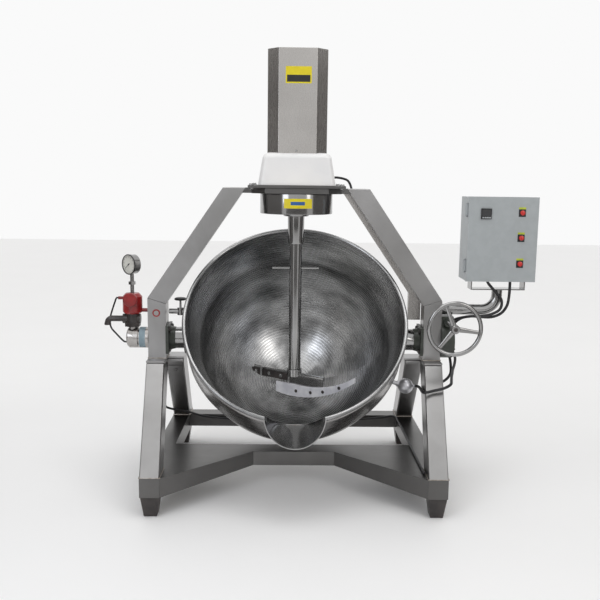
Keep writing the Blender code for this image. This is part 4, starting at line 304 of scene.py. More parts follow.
# Powder coat with orange peel
BOX_GREY = coat("grey_powder_coat", "#a3a8aa", "#9ea3a5", 0.42, 3 * MM, 0.1 * MM)
RED = coat("red_valve_enamel", "#98191a", "#6d1011", 0.35, 6 * MM, 0.2 * MM, gloss=0.3)
DARK_CAST = coat("dark_enamelled_casting", "#3a3432", "#231f1e", 0.45, 5 * MM, 0.3 * MM, gloss=0.15)
BLACK = coat("moulded_black_plastic", "#1d1d1f", "#141416", 0.42, 1.5 * MM, 0.06 * MM)
RUBBER = coat("cable_sheath", "#232225", "#161518", 0.5, 2 * MM, 0.05 * MM)
PTFE = coat("machined_fluoropolymer", "#dcdce0", "#c3c3ca", 0.45, 5 * MM, 0.1 * MM)
BUTTON_RED = coat("moulded_red_plastic", "#d0251f", "#b51b17", 0.3, 2 * MM, 0.03 * MM, gloss=0.3)
DIAL_WHITE = coat("white_dial_print", "#d8d7d0", "#cbcac3", 0.5, 3 * MM, 0.01 * MM)
PLATE_YELLOW = coat("yellow_plate_enamel", "#dccb10", "#d3c00e", 0.35, 4 * MM, 0.02 * MM)
PLATE_BLUE = coat("blue_plate_enamel", "#2c5f9e", "#24518a", 0.35, 4 * MM, 0.02 * MM)
PLATE_BLACK = coat("black_plate_enamel", "#1b1b1c", "#121213", 0.35, 4 * MM, 0.02 * MM)
LABEL_GREEN = coat("yellow_green_label_film", "#b9c43c", "#a5b12f", 0.4, 4 * MM, 0.01 * MM)
RING_BLUE = coat("light_blue_gasket", "#8b9da6", "#788b95", 0.5, 3 * MM, 0.05 * MM)
SATIN_BALL = coat("satin_chromed_ball", "#c9c9cd", "#b9b9bd", 0.34, 4 * MM, 0.03 * MM, metal=0.7)
SCREEN = coat("dark_display_window", "#101418", "#0a0d10", 0.12, 3 * MM, 0.005 * MM, gloss=0.6)
WELD = steel("weld_bead", "#b7b2ac", "#8a8076", 0.3, 3 * MM, (1, 1, 1), 0.6 * MM, 0.02)

# %% [markdown]
# Cables hang in soft curves, so each is a smooth line through a few points. The points were chosen
# along the frame, where the solids' cables run too.

# %% Routes
CABLE_RADIUS, THICK_RADIUS, HOSE_RADIUS = 5.5 * MM, 6.5 * MM, 4 * MM
DENSE = 0.012  # between the points of a finished cable
ROUTE_STEP = 0.045  # between the points of its solid
SPLINE_STEPS = 24  # between two points of a route
ROUTES = {  # millimetres from the kettle's axis on the floor
    # From between the left legs, behind the kettle, forward along the right rail
    "rear_cable": (CABLE_RADIUS, "bare", [
        (-623.4921, 0, 498), (-630.9921, 38.6, 401.73), (-630.9921, 115.8, 311.878),
        (-630.9921, 239.32, 250.907), (-538.3851, 341, 199.6), (-461.8852, 386, 163.5),
        (-293.9426, 386, 148.5), (0, 386, 133.5), (293.9426, 386, 148.5), (461.8852, 386, 163.5),
        (530.8851, 371, 177.1), (539.9139, 289.5, 177.1), (542.9713, 96.5, 177.1),
        (545.5614, -67, 177.1), (549.8333, -336.6667, 177.1), (551.502, -442, 177.1),
    ]),
    # From the control box along its pipe, round the gearbox, in between the right legs
    "box_cable": (THICK_RADIUS, "object", [
        (884, -43.5, 953.4), (884, -43.5, 944.9), (915, -43.5, 908.4), (952.5, -43.5, 862),
        (940, -43.5, 812), (870, -35, 787), (809.5, -25.5, 782.75), (742.68, 42, 749),
        (732.18, 105, 693), (732.18, 105, 623), (746.18, 56, 560), (742, 14, 498), (707, 0, 464.5),
        (645.5, 0, 447.5),
    ]),
    # From the side of the white cover into the top of the duct
    "head_cable": (CABLE_RADIUS, "object", [
        (165.25, 85, 1411.85), (207.25, 85, 1411.85), (254.1063, 72.65, 1390.85),
        (254.1063, 60.3, 1362), (254.1063, 60.3, 1351), (254.1063, 60.3, 1340.3),
    ]),
    # From a fitting on the valve, round the elbow, back to the union
    "steam_hose": (HOSE_RADIUS, "object", [
        (-820.3, 0, 850), (-828.3, 0, 850), (-840.3, 11.75, 825), (-864, 23.5, 757),
        (-864, 23.5, 709), (-799.6, 5.875, 642.5), (-783.6, 0, 642.5), (-779.6, 0, 642.5),
    ]),
    # From the control box round the gearbox and across the leg to the probe
    "probe_cable": (THICK_RADIUS, "object", [
        (986.6667, -43.5, 953.4), (986.6667, -43.5, 936.4), (986.6667, -43.5, 899.9),
        (978.1667, -43.5, 837), (940, -26.5, 787), (870, -14.5, 778.5), (809.5, 0, 778.5),
        (768.18, 42, 749), (757.68, 105, 693), (757.68, 105, 623), (771.68, 56, 560),
        (751.2974, 0, 529.2), (723.2974, -103.9806, 512.4), (695.2974, -199.4612, 495.6),
        (627.7974, -216.4612, 478.8), (577.2974, -224.9612, 470.5), (577.2974, -143.9806, 462),
        (575.1724, -95, 462), (562.6, -80, 462), (556.1, -80, 462),
    ]),
}


def spline_through(points, spacing):
    """Evenly spaced points on a Catmull-Rom spline, straight at its ends.

    Between b and c, with neighbours a and d, it is half of
    2b + (c - a)t + (2a - 5b + 4c - d)t^2 + (3b - a - 3c + d)t^3.
    """
    points = np.asarray(points, float)
    ends = np.vstack([2 * points[0] - points[1], points, 2 * points[-1] - points[-2]])
    a, b, c, d = (ends[i : len(ends) - 3 + i, None] for i in range(4))
    t = np.linspace(0, 1, SPLINE_STEPS, endpoint=False)[None, :, None]
    curve = 2 * b + (c - a) * t + (2 * a - 5 * b + 4 * c - d) * t**2
    curve = (curve + (3 * b - a - 3 * c + d) * t**3) / 2
    dense = np.vstack([curve.reshape(-1, 3), points[-1]])
    along = np.r_[0, np.cumsum(np.linalg.norm(np.diff(dense, axis=0), axis=1))]
    lead = spacing / 5
    even = np.linspace(3 * lead, along[-1] - 3 * lead, round(along[-1] / spacing))
    middle = np.stack([np.interp(even, along, dense[:, i]) for i in range(3)], axis=1)
    first, last = points[1] - points[0], points[-2] - points[-1]
    after = points[0] + first / np.linalg.norm(first) * lead
    before = points[-1] + last / np.linalg.norm(last) * lead
    return np.vstack([points[0], after, middle, before, points[-1]])


# %% Cables
def cable(name, radius, route):
    """A cord along its route, in place of its solid."""
    path = on_machine(spline_through(np.array(route) * MM, ROUTE_STEP))
    curve = bpy.data.curves.new(name + "_line", "CURVE")
    curve.dimensions = "3D"
    curve.bevel_depth = radius
    curve.bevel_resolution = 5
    curve.use_fill_caps = True
    line = curve.splines.new("POLY")
    fine = spline_through(path, DENSE)
    line.points.add(len(fine) - 1)
    line.points.foreach_set("co", np.c_[fine, np.ones(len(fine))].ravel())
    line.use_smooth = True
    curve.materials.append(RUBBER)
    piece = placed(name + "_sheath", curve)
    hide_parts(name)
    return piece


for name, (radius, far_end, route) in ROUTES.items():
    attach(cable(name, radius, route), "frame")

# %% [markdown]
# Two ways make every rigid piece. A round one is a surface on a grid: a profile carried round an
# axis. A folded, welded or cast one keeps the solid's own shape, and a narrow bevel takes the
# knife edge off it so that it catches the light.

# %% Surfaces on a grid
SOFT_ANGLE = math.radians(32)
MERGE = 0.02 * MM


def dress(piece, finish_of, body, edge=0.0, segments=2):
    """Gives a mesh its finish, its shading and its body."""
    mesh = piece.data
    mesh.materials.clear()
    mesh.materials.append(finish_of)
    mesh.shade_smooth()
    mesh.set_sharp_from_angle(angle=SOFT_ANGLE)
    if edge:
        soft = piece.modifiers.new("Bevel", "BEVEL")
        soft.width = edge
        soft.segments = segments
        soft.limit_method = "ANGLE"
        soft.angle_limit = SOFT_ANGLE
        soft.harden_normals = True
    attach(piece, body)
    return piece


def mesh_of(name, shape):
    """An object of this bmesh with its faces turned outwards."""
    bmesh.ops.recalc_face_normals(shape, faces=shape.faces)
    mesh = bpy.data.meshes.new(name)
    shape.to_mesh(mesh)
    shape.free()
    return placed(name, mesh)


def grid_shape(points, wrap=(True, True), size=(1.0, 1.0)):
    """A bmesh of quads over an (m, n, 3) array; wrap closes a direction, size scales the UV map."""
    rows, columns = points.shape[:2]
    i, j = np.meshgrid(
        np.arange(rows - (not wrap[0])), np.arange(columns - (not wrap[1])), indexing="ij"
    )
    i, j = i.ravel(), j.ravel()
    up, over = (i + 1) % rows, (j + 1) % columns
    quads = np.stack([i * columns + j, i * columns + over, up * columns + over, up * columns + j], 1)
    mesh = bpy.data.meshes.new("grid")
    mesh.from_pydata(points.reshape(-1, 3).tolist(), [], quads.tolist())
    corners = np.stack([[j, i], [j + 1, i], [j + 1, i + 1], [j, i + 1]], 0).transpose(2, 0, 1)
    uv = corners / [columns, rows] * size
    mesh.uv_layers.new(name="UVMap").data.foreach_set("uv", uv.ravel())
    shape = bmesh.new()
    shape.from_mesh(mesh)
    bpy.data.meshes.remove(mesh)
    bmesh.ops.remove_doubles(shape, verts=shape.verts, dist=MERGE)
    return shape


def capped(shape):
    """The same bmesh with its open ends closed."""
    bmesh.ops.holes_fill(shape, edges=[e for e in shape.edges if e.is_boundary])
    return shape


def revolved(profile, axis=(0, 0, 1), start=(0, 0, 0), steps=144):
    """Points of (radius, height) turned about an axis: (r cos a, r sin a, h) for each angle a.

    The axis is turned from +Z to where it points, and the whole is moved to start.
    """
    profile = np.asarray(profile, float)
    a = np.arange(steps) / steps * math.tau
    r, h = profile[:, :1], profile[:, 1:]
    points = np.stack([r * np.cos(a), r * np.sin(a), np.broadcast_to(h, (len(h), steps))], -1)
    turn = np.array(Vector((0, 0, 1)).rotation_difference(Vector(axis)).to_matrix())
    ring = math.tau * profile[:, 0].max()
    length = np.linalg.norm(np.diff(profile, axis=0), axis=1).sum()
    return points @ turn.T + start, (ring, length)


def arc(centre, radius, first, last, steps):
    """(x, y) points on an arc, angles in degrees."""
    a = np.radians(np.linspace(first, last, steps))
    return np.stack([centre[0] + radius * np.cos(a), centre[1] + radius * np.sin(a)], 1)


def round_piece(name, profile, finish_of, body, axis=(0, 0, 1), start=(0, 0, 0),
                steps=144, stands_for=()):
    """A turned piece in place, with the nodes that it stands for hidden."""
    points, size = revolved(profile, axis, start, steps)
    piece = dress(mesh_of(name, grid_shape(on_machine(points), size=size)), finish_of, body)
    if stands_for:
        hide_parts(*stands_for)
    return piece


def solid(node, finish_of, edge=0.0, segments=2):
    """A copy of a CAD node with its triangles joined into faces and its edges softened."""
    shape = bmesh.new()
    shape.from_mesh(frame["nodes"][node].data)
    bmesh.ops.remove_doubles(shape, verts=shape.verts, dist=MERGE)
    bmesh.ops.dissolve_limit(
        shape, angle_limit=math.radians(0.4), verts=shape.verts, edges=shape.edges
    )
    piece = mesh_of(node + "_dressed", shape)
    dress(piece, finish_of, frame["nodes"][node]["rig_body"], edge, segments)
    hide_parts(node)
    return piece


# %% [markdown]
# ## The stand
#
# Square stainless tube, ground on a belt along its length. The long edges of such tube are
# round, and the light runs along them.

# %% Stand
EDGE = 2.5 * MM
TUBE = 84 * MM
COLUMN_X = 0.637
COLUMN_OUTSIDE = COLUMN_X + TUBE / 2
BASE_HEIGHT, BASE_DEPTH = 0.171, 1.01
RAIL_FRONT, RAIL_REAR = 0.602, 0.586  # the middle of a base rail, from the kettle's axis
LEG_TOPS, LEG_RISE = 0.204, 0.3944
LEG_THICKNESS = TUBE * math.hypot(1, (BASE_DEPTH - LEG_TOPS) / 2 / LEG_RISE)
for side in ("left", "right"):
    solid("column_" + side, SATIN, EDGE / 2)
    solid("arm_" + side, SATIN, EDGE)
    for end in ("front", "rear"):
        solid(f"leg_{end}_{side}", SATIN, EDGE / 2)
        solid(f"foot_{end}_{side}", DARK_CAST, EDGE)
    solid("bearing_" + side, IRON, EDGE / 2)
# Base frame, top beam and head plate take the darker steel, which is painted shade
solid("base_frame", SATIN_PAINTED_SHADE, EDGE)
solid("top_beam", SATIN_PAINTED_SHADE, EDGE / 2)
solid("head_plate", SATIN_PAINTED_SHADE, EDGE / 2)

# %% [markdown]
# ## Small fasteners
#
# A hexagon head is a six-step turned piece with a chamfer, on a round washer. One function makes
# a row of them along any axis, so that each flange gets its own size.

# %% Bolts
HEAD_TOP, HEAD_CHAMFER, HEAD_FACE = 0.9, 0.72, 0.85
WASHER, WASHER_TOP, WASHER_LAP = 1.3, 0.22, 0.2


def bolts(name, places, axis, size, body, finish_of=DARK_CAST):
    """Hexagon heads of this across-corner radius, their feet at the places, standing on an axis."""
    whole = bmesh.new()
    for place in places:
        head = [(0, HEAD_TOP), (HEAD_FACE, HEAD_TOP), (1, HEAD_CHAMFER), (1, WASHER_LAP), (0, WASHER_LAP)]
        washer = [(0, WASHER_TOP), (WASHER, WASHER_TOP), (WASHER, 0), (0, 0)]
        for profile, steps in ((head, 6), (washer, 24)):
            points, scale = revolved(np.array(profile) * size, axis, place, steps)
            part = grid_shape(on_machine(points), size=scale)
            bmesh.ops.recalc_face_normals(part, faces=part.faces)
            mesh = bpy.data.meshes.new("part")
            part.to_mesh(mesh)
            part.free()
            whole.from_mesh(mesh)
            bpy.data.meshes.remove(mesh)
    return dress(mesh_of(name, whole), finish_of, body)


BEARING_THICK, BEARING_HALF, BOLT_INSET = 0.014, 0.065, 0.017
BEARING_FACE = COLUMN_X - TUBE / 2 - GAP - BEARING_THICK
CORNER = BEARING_HALF - BOLT_INSET
around = [(y, TRUNNION_HEIGHT + z) for y in (-CORNER, CORNER) for z in (-CORNER, CORNER)]
for name, side in (("left", -1), ("right", 1)):
    places = [(side * BEARING_FACE, y, z) for y, z in around]
    bolts("bearing_bolts_" + name, places, (-side, 0, 0), 9 * MM, "frame")
PLATE_TOP, PLATE_THICK = 1.3763, 0.012
corners = [(x, y, PLATE_TOP) for x in (-0.198, 0.198) for y in (-0.16, 0.16)]
bolts("head_plate_bolts", corners, (0, 0, 1), 9 * MM, "frame", BUFFED_PLAIN)
under = [(x, y, z - PLATE_THICK) for x, y, z in corners]
bolts("head_plate_nuts", under, (0, 0, -1), 9 * MM, "frame", BUFFED_PLAIN)

# %% [markdown]
# ## The head
#
# A folded hood covers the motor. Under it sits a white enamelled cover, and under the beam a
# turned drum holds the gears.

# %% Hood, cover and motor
solid("motor_hood", BRUSHED, 1.2 * MM)
solid("head_cover", WHITE, 2 * MM, 3)
for node in ("drive_motor", "lift_jack", "lift_yoke"):
    solid(node, DARK_CAST)

# %% The drum and the sleeve
DRUM, DRUM_EDGE, DRUM_BOSS, DRUM_HUB = 0.165, 0.003, 0.06, 0.056
DRUM_LOW, DRUM_TOP = 1.249, 1.3397
SLEEVE_BORE = 0.0405
drum_profile = [
    (SLEEVE_BORE, DRUM_TOP), *arc((DRUM - DRUM_EDGE, DRUM_TOP - DRUM_EDGE), DRUM_EDGE, 90, 0, 6),
    *arc((DRUM - DRUM_EDGE, DRUM_LOW + DRUM_EDGE), DRUM_EDGE, 0, -90, 6), (DRUM_BOSS, DRUM_LOW),
    *arc((DRUM_HUB, DRUM_LOW - 0.010), 0.002, 0, -90, 5), (SLEEVE_BORE, DRUM_LOW - 0.012),
]
round_piece("gear_drum_turned", drum_profile, BUFFED, "frame",
            stands_for=["gear_drum"])
SHAFT = 0.0285
SLEEVE, COLLAR, COLLAR_TALL = 0.0385, 0.0485, 0.01
sleeve_profile = [
    (SHAFT + GAP, DRUM_TOP + GAP + COLLAR_TALL), (COLLAR, DRUM_TOP + GAP + COLLAR_TALL),
    (COLLAR, DRUM_TOP + GAP), (SLEEVE, DRUM_TOP + GAP), (SLEEVE, 1.237), (0.0378, 1.21),
    (0.0352, 1.116), (0.0340, 1.111), (SHAFT + GAP, 1.111),
]
round_piece("drive_sleeve_turned", sleeve_profile, BUFFED, "sleeve",
            stands_for=["drive_sleeve"], steps=96)

# %% [markdown]
# ## The stirrer
#
# The shaft is ground and buffed. The arm below it carries a bent steel plate on one side and a
# pale plastic blade on the other, each with its own bolts.

# %% Shaft, bar and scraper
HEAD, HEAD_EDGE, HEAD_LOW, SHAFT_TOP, SHAFT_FOOT = 0.036, 2.5 * MM, 1.62, 1.63, 0.521
shaft_profile = [
    (0, SHAFT_TOP), *arc((HEAD - HEAD_EDGE, SHAFT_TOP - HEAD_EDGE), HEAD_EDGE, 90, 0, 4),
    (HEAD, HEAD_LOW), (SHAFT, HEAD_LOW), (SHAFT, SHAFT_FOOT + 1.5 * MM),
    (SHAFT - 1.5 * MM, SHAFT_FOOT), (0, SHAFT_FOOT),
]
round_piece("stirrer_shaft_ground", shaft_profile, BUFFED, "stirrer",
            stands_for=["stirrer_shaft"], steps=96)
BAR, BAR_HALF, BAR_HEIGHT = 0.006, 0.108, 0.997
bar_end = [(0, BAR_HALF), (BAR - 1 * MM, BAR_HALF), (BAR, BAR_HALF - 1 * MM)]
bar_profile = bar_end + [(r, -h) for r, h in bar_end[::-1]]
round_piece("stirrer_crossbar_turned", bar_profile, BUFFED_PLAIN, "stirrer",
            axis=(1, 0, 0), start=(0, 0, BAR_HEIGHT), stands_for=["stirrer_crossbar"], steps=32)
solid("scraper_arm", BUFFED_PLAIN, 0.8 * MM)
solid("scraper_plate", DARK_CAST, 0.8 * MM)
solid("scraper_blade", PTFE, 0)

ARM_TURN = math.radians(-37.4)
ARM_WAY = np.array([math.cos(ARM_TURN), math.sin(ARM_TURN), 0])
ARM_FRONT = np.array([math.sin(ARM_TURN), -math.cos(ARM_TURN), 0])
ARM_HALF, STRAP, BLADE_THICK = 0.006, 0.008, 0.012
PLATE_FACE = ARM_HALF + GAP + STRAP
BLADE_FACE = PLATE_FACE - GAP + BLADE_THICK


def on_arm(along, out, height):
    """A place along the arm, that far in front of its middle, at a height."""
    return ARM_WAY * along + ARM_FRONT * out + [0, 0, height]


BLADE_LOW, BLADE_ARC, BLADE_END = 0.394, 0.58, 0.352
BLADE_AT_SHAFT, BLADE_AT_TIP = 0.058, 0.024


def blade_middle(along):
    """Height of the blade's centre line: its curved lower edge and half of its tapering height."""
    low = BLADE_LOW + BLADE_ARC - math.sqrt(BLADE_ARC**2 - along**2)
    return low + (BLADE_AT_SHAFT - (BLADE_AT_SHAFT - BLADE_AT_TIP) * along / BLADE_END) / 2


blade_places = [on_arm(s, BLADE_FACE, blade_middle(s)) for s in (0.03, 0.113, 0.182, 0.271)]
bolts("blade_bolts", blade_places, tuple(ARM_FRONT), 6 * MM, "stirrer")
plate_places = [on_arm(-s, PLATE_FACE, 0.478) for s in (0.07, 0.14, 0.22)]
bolts("plate_bolts", plate_places, tuple(ARM_FRONT), 7 * MM, "stirrer", BUFFED_PLAIN)

# %% [markdown]
# ## The kettle
#
# The bowl is one spun shell: half a sphere below, a cone above, and a bead rolled round its rim.
# A notch in front opens into the pressed pouring spout. The notch is a Boolean with the hollow of
# the spout, so that the two always agree.

# %% Sizes of the kettle
RIM_HEIGHT, RIM_RADIUS, BEAD = 0.187, 0.508, 0.009
BOWL, BOWL_WALL = 0.442, 0.004
WALL_SLOPE = (RIM_RADIUS - 2 * BEAD - BOWL) / RIM_HEIGHT
JACKET, DISH, DISH_RISE, JACKET_WALL, JACKET_TOP, SHOULDER = 0.502, 0.483, 0.015, 0.005, 0.148, 0.012
SPOUT_HALF, SPOUT_REACH, SPOUT_DROP, SPOUT_WALL = 0.127, 0.112, 0.14, 0.004
SPOUT_SHARES = (-0.12, *np.linspace(0, 0.97, 22))  # of its drop, from above the lip downwards
ELLIPSE_STEPS = 41
ROUND_STEPS = 176


def wall_radius(height, outwards=0.0):
    """Radius of the bowl's inner face above the trunnion axis."""
    return BOWL + np.asarray(height) * WALL_SLOPE + outwards


def dish(radius, rise):
    """(radius, height) points of a half sphere from its equator down to its pole."""
    a = np.linspace(0, math.pi / 2, 40)
    return np.stack([radius * np.cos(a), rise - radius * np.sin(a)], 1)


def spout_hollow(grow, inside):
    """The spout's hollow as rings of half ellipses that narrow and draw in with depth."""
    rings = []
    for share in SPOUT_SHARES:
        level = max(0.0, share)
        height = RIM_HEIGHT - SPOUT_DROP * share - grow * level / 2
        half = SPOUT_HALF * math.sqrt(1 - level) + grow
        lip = RIM_RADIUS + SPOUT_REACH - (RIM_RADIUS + SPOUT_REACH - BOWL) * level
        chord = math.sqrt(max(0, wall_radius(min(height, RIM_HEIGHT), BOWL_WALL) ** 2 - half**2))
        reach = max(lip + grow - chord, 2 * MM)
        a = np.linspace(0, math.pi, ELLIPSE_STEPS)
        ring = [half * np.cos(a), -chord - reach * np.sin(a), np.full(ELLIPSE_STEPS, height)]
        back = inside - chord
        rings.append(np.vstack([np.transpose(ring), [(-half, back, height), (half, back, height)]]))
    return np.array(rings)


def closed_loft(rings):
    """A bmesh through rings of points, with flat ends."""
    shape = capped(grid_shape(rings, (False, True)))
    bmesh.ops.triangulate(shape, faces=shape.faces)
    bmesh.ops.recalc_face_normals(shape, faces=shape.faces)
    return shape


def carve(piece, *cutters):
    """Takes each cutter, an object, away from the piece and removes it."""
    for cutter in cutters:
        step = piece.modifiers.new("Cut", "BOOLEAN")
        step.operation = "DIFFERENCE"
        step.object = cutter
    bpy.context.view_layer.update()
    graph = bpy.context.evaluated_depsgraph_get()
    mesh = bpy.data.meshes.new_from_object(piece.evaluated_get(graph))
    piece.modifiers.clear()
    piece.data = mesh
    for cutter in cutters:
        bpy.data.objects.remove(cutter, do_unlink=True)
    return piece


# %% Bowl, spout and jacket
bead_middle = (RIM_RADIUS - BEAD, RIM_HEIGHT - BEAD)
under_bead = RIM_HEIGHT - 2 * BEAD
cone = np.linspace(under_bead, 0, 12)[:-1]
bowl_profile = np.vstack([
    arc(bead_middle, BEAD, 180, -90, 16),
    np.stack([wall_radius(cone, BOWL_WALL), cone], 1),
    dish(BOWL + BOWL_WALL, 0),
    dish(BOWL, 0)[::-1],
    np.stack([wall_radius(cone[::-1]), cone[::-1]], 1)[:-1],
])
points, size = revolved(bowl_profile, steps=ROUND_STEPS)
bowl = mesh_of("kettle_bowl_spun", grid_shape(points, size=size))
carve(bowl, mesh_of("bowl_cutter", closed_loft(spout_hollow(0, SPOUT_HALF))))

spout = mesh_of("pouring_spout_pressed", closed_loft(spout_hollow(SPOUT_WALL, 0.01)))
LID = 0.7  # more than the lip's reach
lid = mesh_of("lid_cutter", closed_loft(np.array([
    [(-LID, -LID, z), (LID, -LID, z), (LID, 0.1, z), (-LID, 0.1, z)] for z in (RIM_HEIGHT, 0.4)
])))
BLANK_TOP, BLANK_LOW = RIM_HEIGHT + 0.01, -0.09
blank = [
    (0, BLANK_TOP), (RIM_RADIUS + GAP, BLANK_TOP),
    (RIM_RADIUS + GAP, under_bead - GAP),
    (wall_radius(under_bead, BOWL_WALL + GAP), under_bead - GAP),
    (wall_radius(0, BOWL_WALL + GAP), 0), (wall_radius(BLANK_LOW, BOWL_WALL + GAP), BLANK_LOW),
    (0, BLANK_LOW),
]
points, size = revolved(blank, steps=ROUND_STEPS)
carve(
    spout,
    mesh_of("spout_cutter", closed_loft(spout_hollow(0, SPOUT_HALF))),
    lid,
    mesh_of("wall_cutter", grid_shape(points, size=size)),
)

FOLD = SHOULDER + 2.5 * MM
jacket_profile = np.vstack([
    [(wall_radius(JACKET_TOP, BOWL_WALL + GAP), JACKET_TOP)],
    arc((JACKET - SHOULDER, JACKET_TOP - SHOULDER), SHOULDER, 90, 0, 6),
    [(JACKET, DISH_RISE)],
    dish(DISH, DISH_RISE)[7:],
    dish(DISH - JACKET_WALL, DISH_RISE)[:7:-1],
    [(JACKET - JACKET_WALL, DISH_RISE)],
    [(JACKET - JACKET_WALL, JACKET_TOP - FOLD)],
    [(JACKET - FOLD, JACKET_TOP - JACKET_WALL)],
    [(wall_radius(JACKET_TOP - JACKET_WALL, BOWL_WALL + GAP), JACKET_TOP - JACKET_WALL)],
])
points, size = revolved(jacket_profile, steps=ROUND_STEPS)
jacket = mesh_of("kettle_jacket_spun", grid_shape(points, size=size))
carve(jacket, mesh_of("jacket_cutter", closed_loft(spout_hollow(SPOUT_WALL + GAP, SPOUT_HALF / 4))))

TILTED = Matrix.Translation((*MACHINE[:2], TRUNNION_HEIGHT)) @ Matrix.Rotation(TILT, 4, "X")
for piece, finish_of, slot, node in (
    (bowl, BOWL_STEEL, "polished_stainless", "kettle_bowl"),
    (spout, BUFFED_PLAIN, "polished_stainless", "pouring_spout"),
    (jacket, JACKET_STEEL, "brushed_stainless", "kettle_jacket"),
):
    piece.data.transform(TILTED)
    dress(piece, finish_of, "kettle")
    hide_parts(node)
print("bowl faces", len(bowl.data.polygons), "jacket faces", len(jacket.data.polygons))

# %% [markdown]
# A weld bead is a small round ridge with scales. It is a circle carried along a path, and its
# radius rises and falls once for each scale.

# %% Welds and pipes
def along_path(path, radius, sides, closed):
    """Circles of this radius at each point of a path, square to it.

    At a point with tangent t, u = t x r and v = t x u, and the circle is u cos a + v sin a.
    r is whichever axis the path as a whole keeps furthest from.
    """
    path = np.asarray(path, float)
    if closed:
        tangent = np.roll(path, -1, 0) - np.roll(path, 1, 0)
    else:
        tangent = np.gradient(path, axis=0)
    tangent /= np.linalg.norm(tangent, axis=1, keepdims=True)
    reference = np.eye(3)[np.abs(tangent).max(0).argmin()]
    u = np.cross(tangent, reference)
    u /= np.linalg.norm(u, axis=1, keepdims=True)
    v = np.cross(tangent, u)
    a = np.arange(sides) / sides * math.tau
    radius = np.broadcast_to(radius, len(path))[:, None, None]
    ring = u[:, None] * np.cos(a)[:, None] + v[:, None] * np.sin(a)[:, None]
    return path[:, None] + ring * radius


def evenly(points, spacing, closed):
    """Evenly spaced points along straight runs between the given ones."""
    points = np.asarray(points, float)
    if closed:
        points = np.vstack([points, points[:1]])
    along = np.r_[0, np.cumsum(np.linalg.norm(np.diff(points, axis=0), axis=1))]
    count = max(4, round(along[-1] / spacing))
    at = np.linspace(0, along[-1], count, endpoint=not closed)
    return np.stack([np.interp(at, along, points[:, i]) for i in range(3)], 1)


SCALE, RIPPLE = 5 * MM, 0.16


def bead(name, way, radius, body, closed=False, on=on_machine):
    """A weld bead along a way, with one ripple for each scale."""
    path = evenly(way, SCALE / 3, closed)
    ripple = radius * (1 + RIPPLE * np.sin(np.arange(len(path)) * math.tau / 3))
    shape = grid_shape(on(along_path(path, ripple, 8, closed)), (closed, True))
    return dress(mesh_of(name, capped(shape)), WELD, body)


levels = np.linspace(0, 0.96, 30)
heights = RIM_HEIGHT - SPOUT_DROP * levels - SPOUT_WALL * levels / 2
halves = SPOUT_HALF * np.sqrt(1 - levels) + SPOUT_WALL
chords = np.sqrt(wall_radius(np.minimum(heights, under_bead), BOWL_WALL) ** 2 - halves**2)
down_side = np.stack([halves, -chords, heights], 1)[4:]
up_side = (down_side * [-1, 1, 1])[::-1]
bead("spout_weld", np.vstack([down_side, up_side]), 2.2 * MM, "kettle", on=on_kettle)

SEAT_TOP = 0.574
WELD_RADIUS, WELD_OUT, WELD_INSET = 2.5 * MM, 1 * MM, 3.5 * MM


def around_tube(x, near, far, height):
    """The four corners of a weld round a tube that stands at x and reaches from near to far."""
    half, z = TUBE / 2 + WELD_OUT, height + WELD_OUT
    return [(x - half, near, z), (x + half, near, z), (x + half, far, z), (x - half, far, z)]


for name, side in (("left", -1), ("right", 1)):
    half = TUBE / 2 + WELD_OUT
    way = around_tube(side * COLUMN_X, -half, half, SEAT_TOP)
    bead("column_weld_" + name, way, WELD_RADIUS, "frame", closed=True)
    for end, sign, x in (("front", -1, RAIL_FRONT), ("rear", 1, RAIL_REAR)):
        near, far = sorted(sign * (BASE_DEPTH / 2 - inset) for inset in (WELD_INSET, LEG_THICKNESS))
        way = around_tube(side * x, near, far, BASE_HEIGHT)
        bead(f"leg_weld_{name}_{end}", way, WELD_RADIUS, "frame", closed=True)

# %% [markdown]
# ## Tilting gear and handwheel
#
# The cast box on the right column holds a worm and its wheel. The worm's shaft comes forward to a
# buffed wheel with three tapered spokes.

# %% Gearbox
for side in ("left", "right"):
    solid("trunnion_" + side, BUFFED_PLAIN, 0.6 * MM)
solid("worm_wheel", BRONZE)
solid("worm_shaft", BUFFED_PLAIN)
solid("gearbox_case", IRON, 1.2 * MM)
solid("gearbox_cover", IRON, 1.2 * MM)
COVER_FACE = from_machine("gearbox_cover")[1][0] - 2 * MM
COVER_BOLTS, COVER_TOP = 0.071, 0.765
cover_ring = [(COVER_FACE, COVER_BOLTS * math.cos(a), TRUNNION_HEIGHT + COVER_BOLTS * math.sin(a))
              for a in np.radians([205, 245, 295, 335])]
cover_top = [(COVER_FACE, y, COVER_TOP) for y in (-0.026, 0.026)]
bolts("gearbox_bolts", cover_ring + cover_top, (1, 0, 0), 5 * MM, "frame")

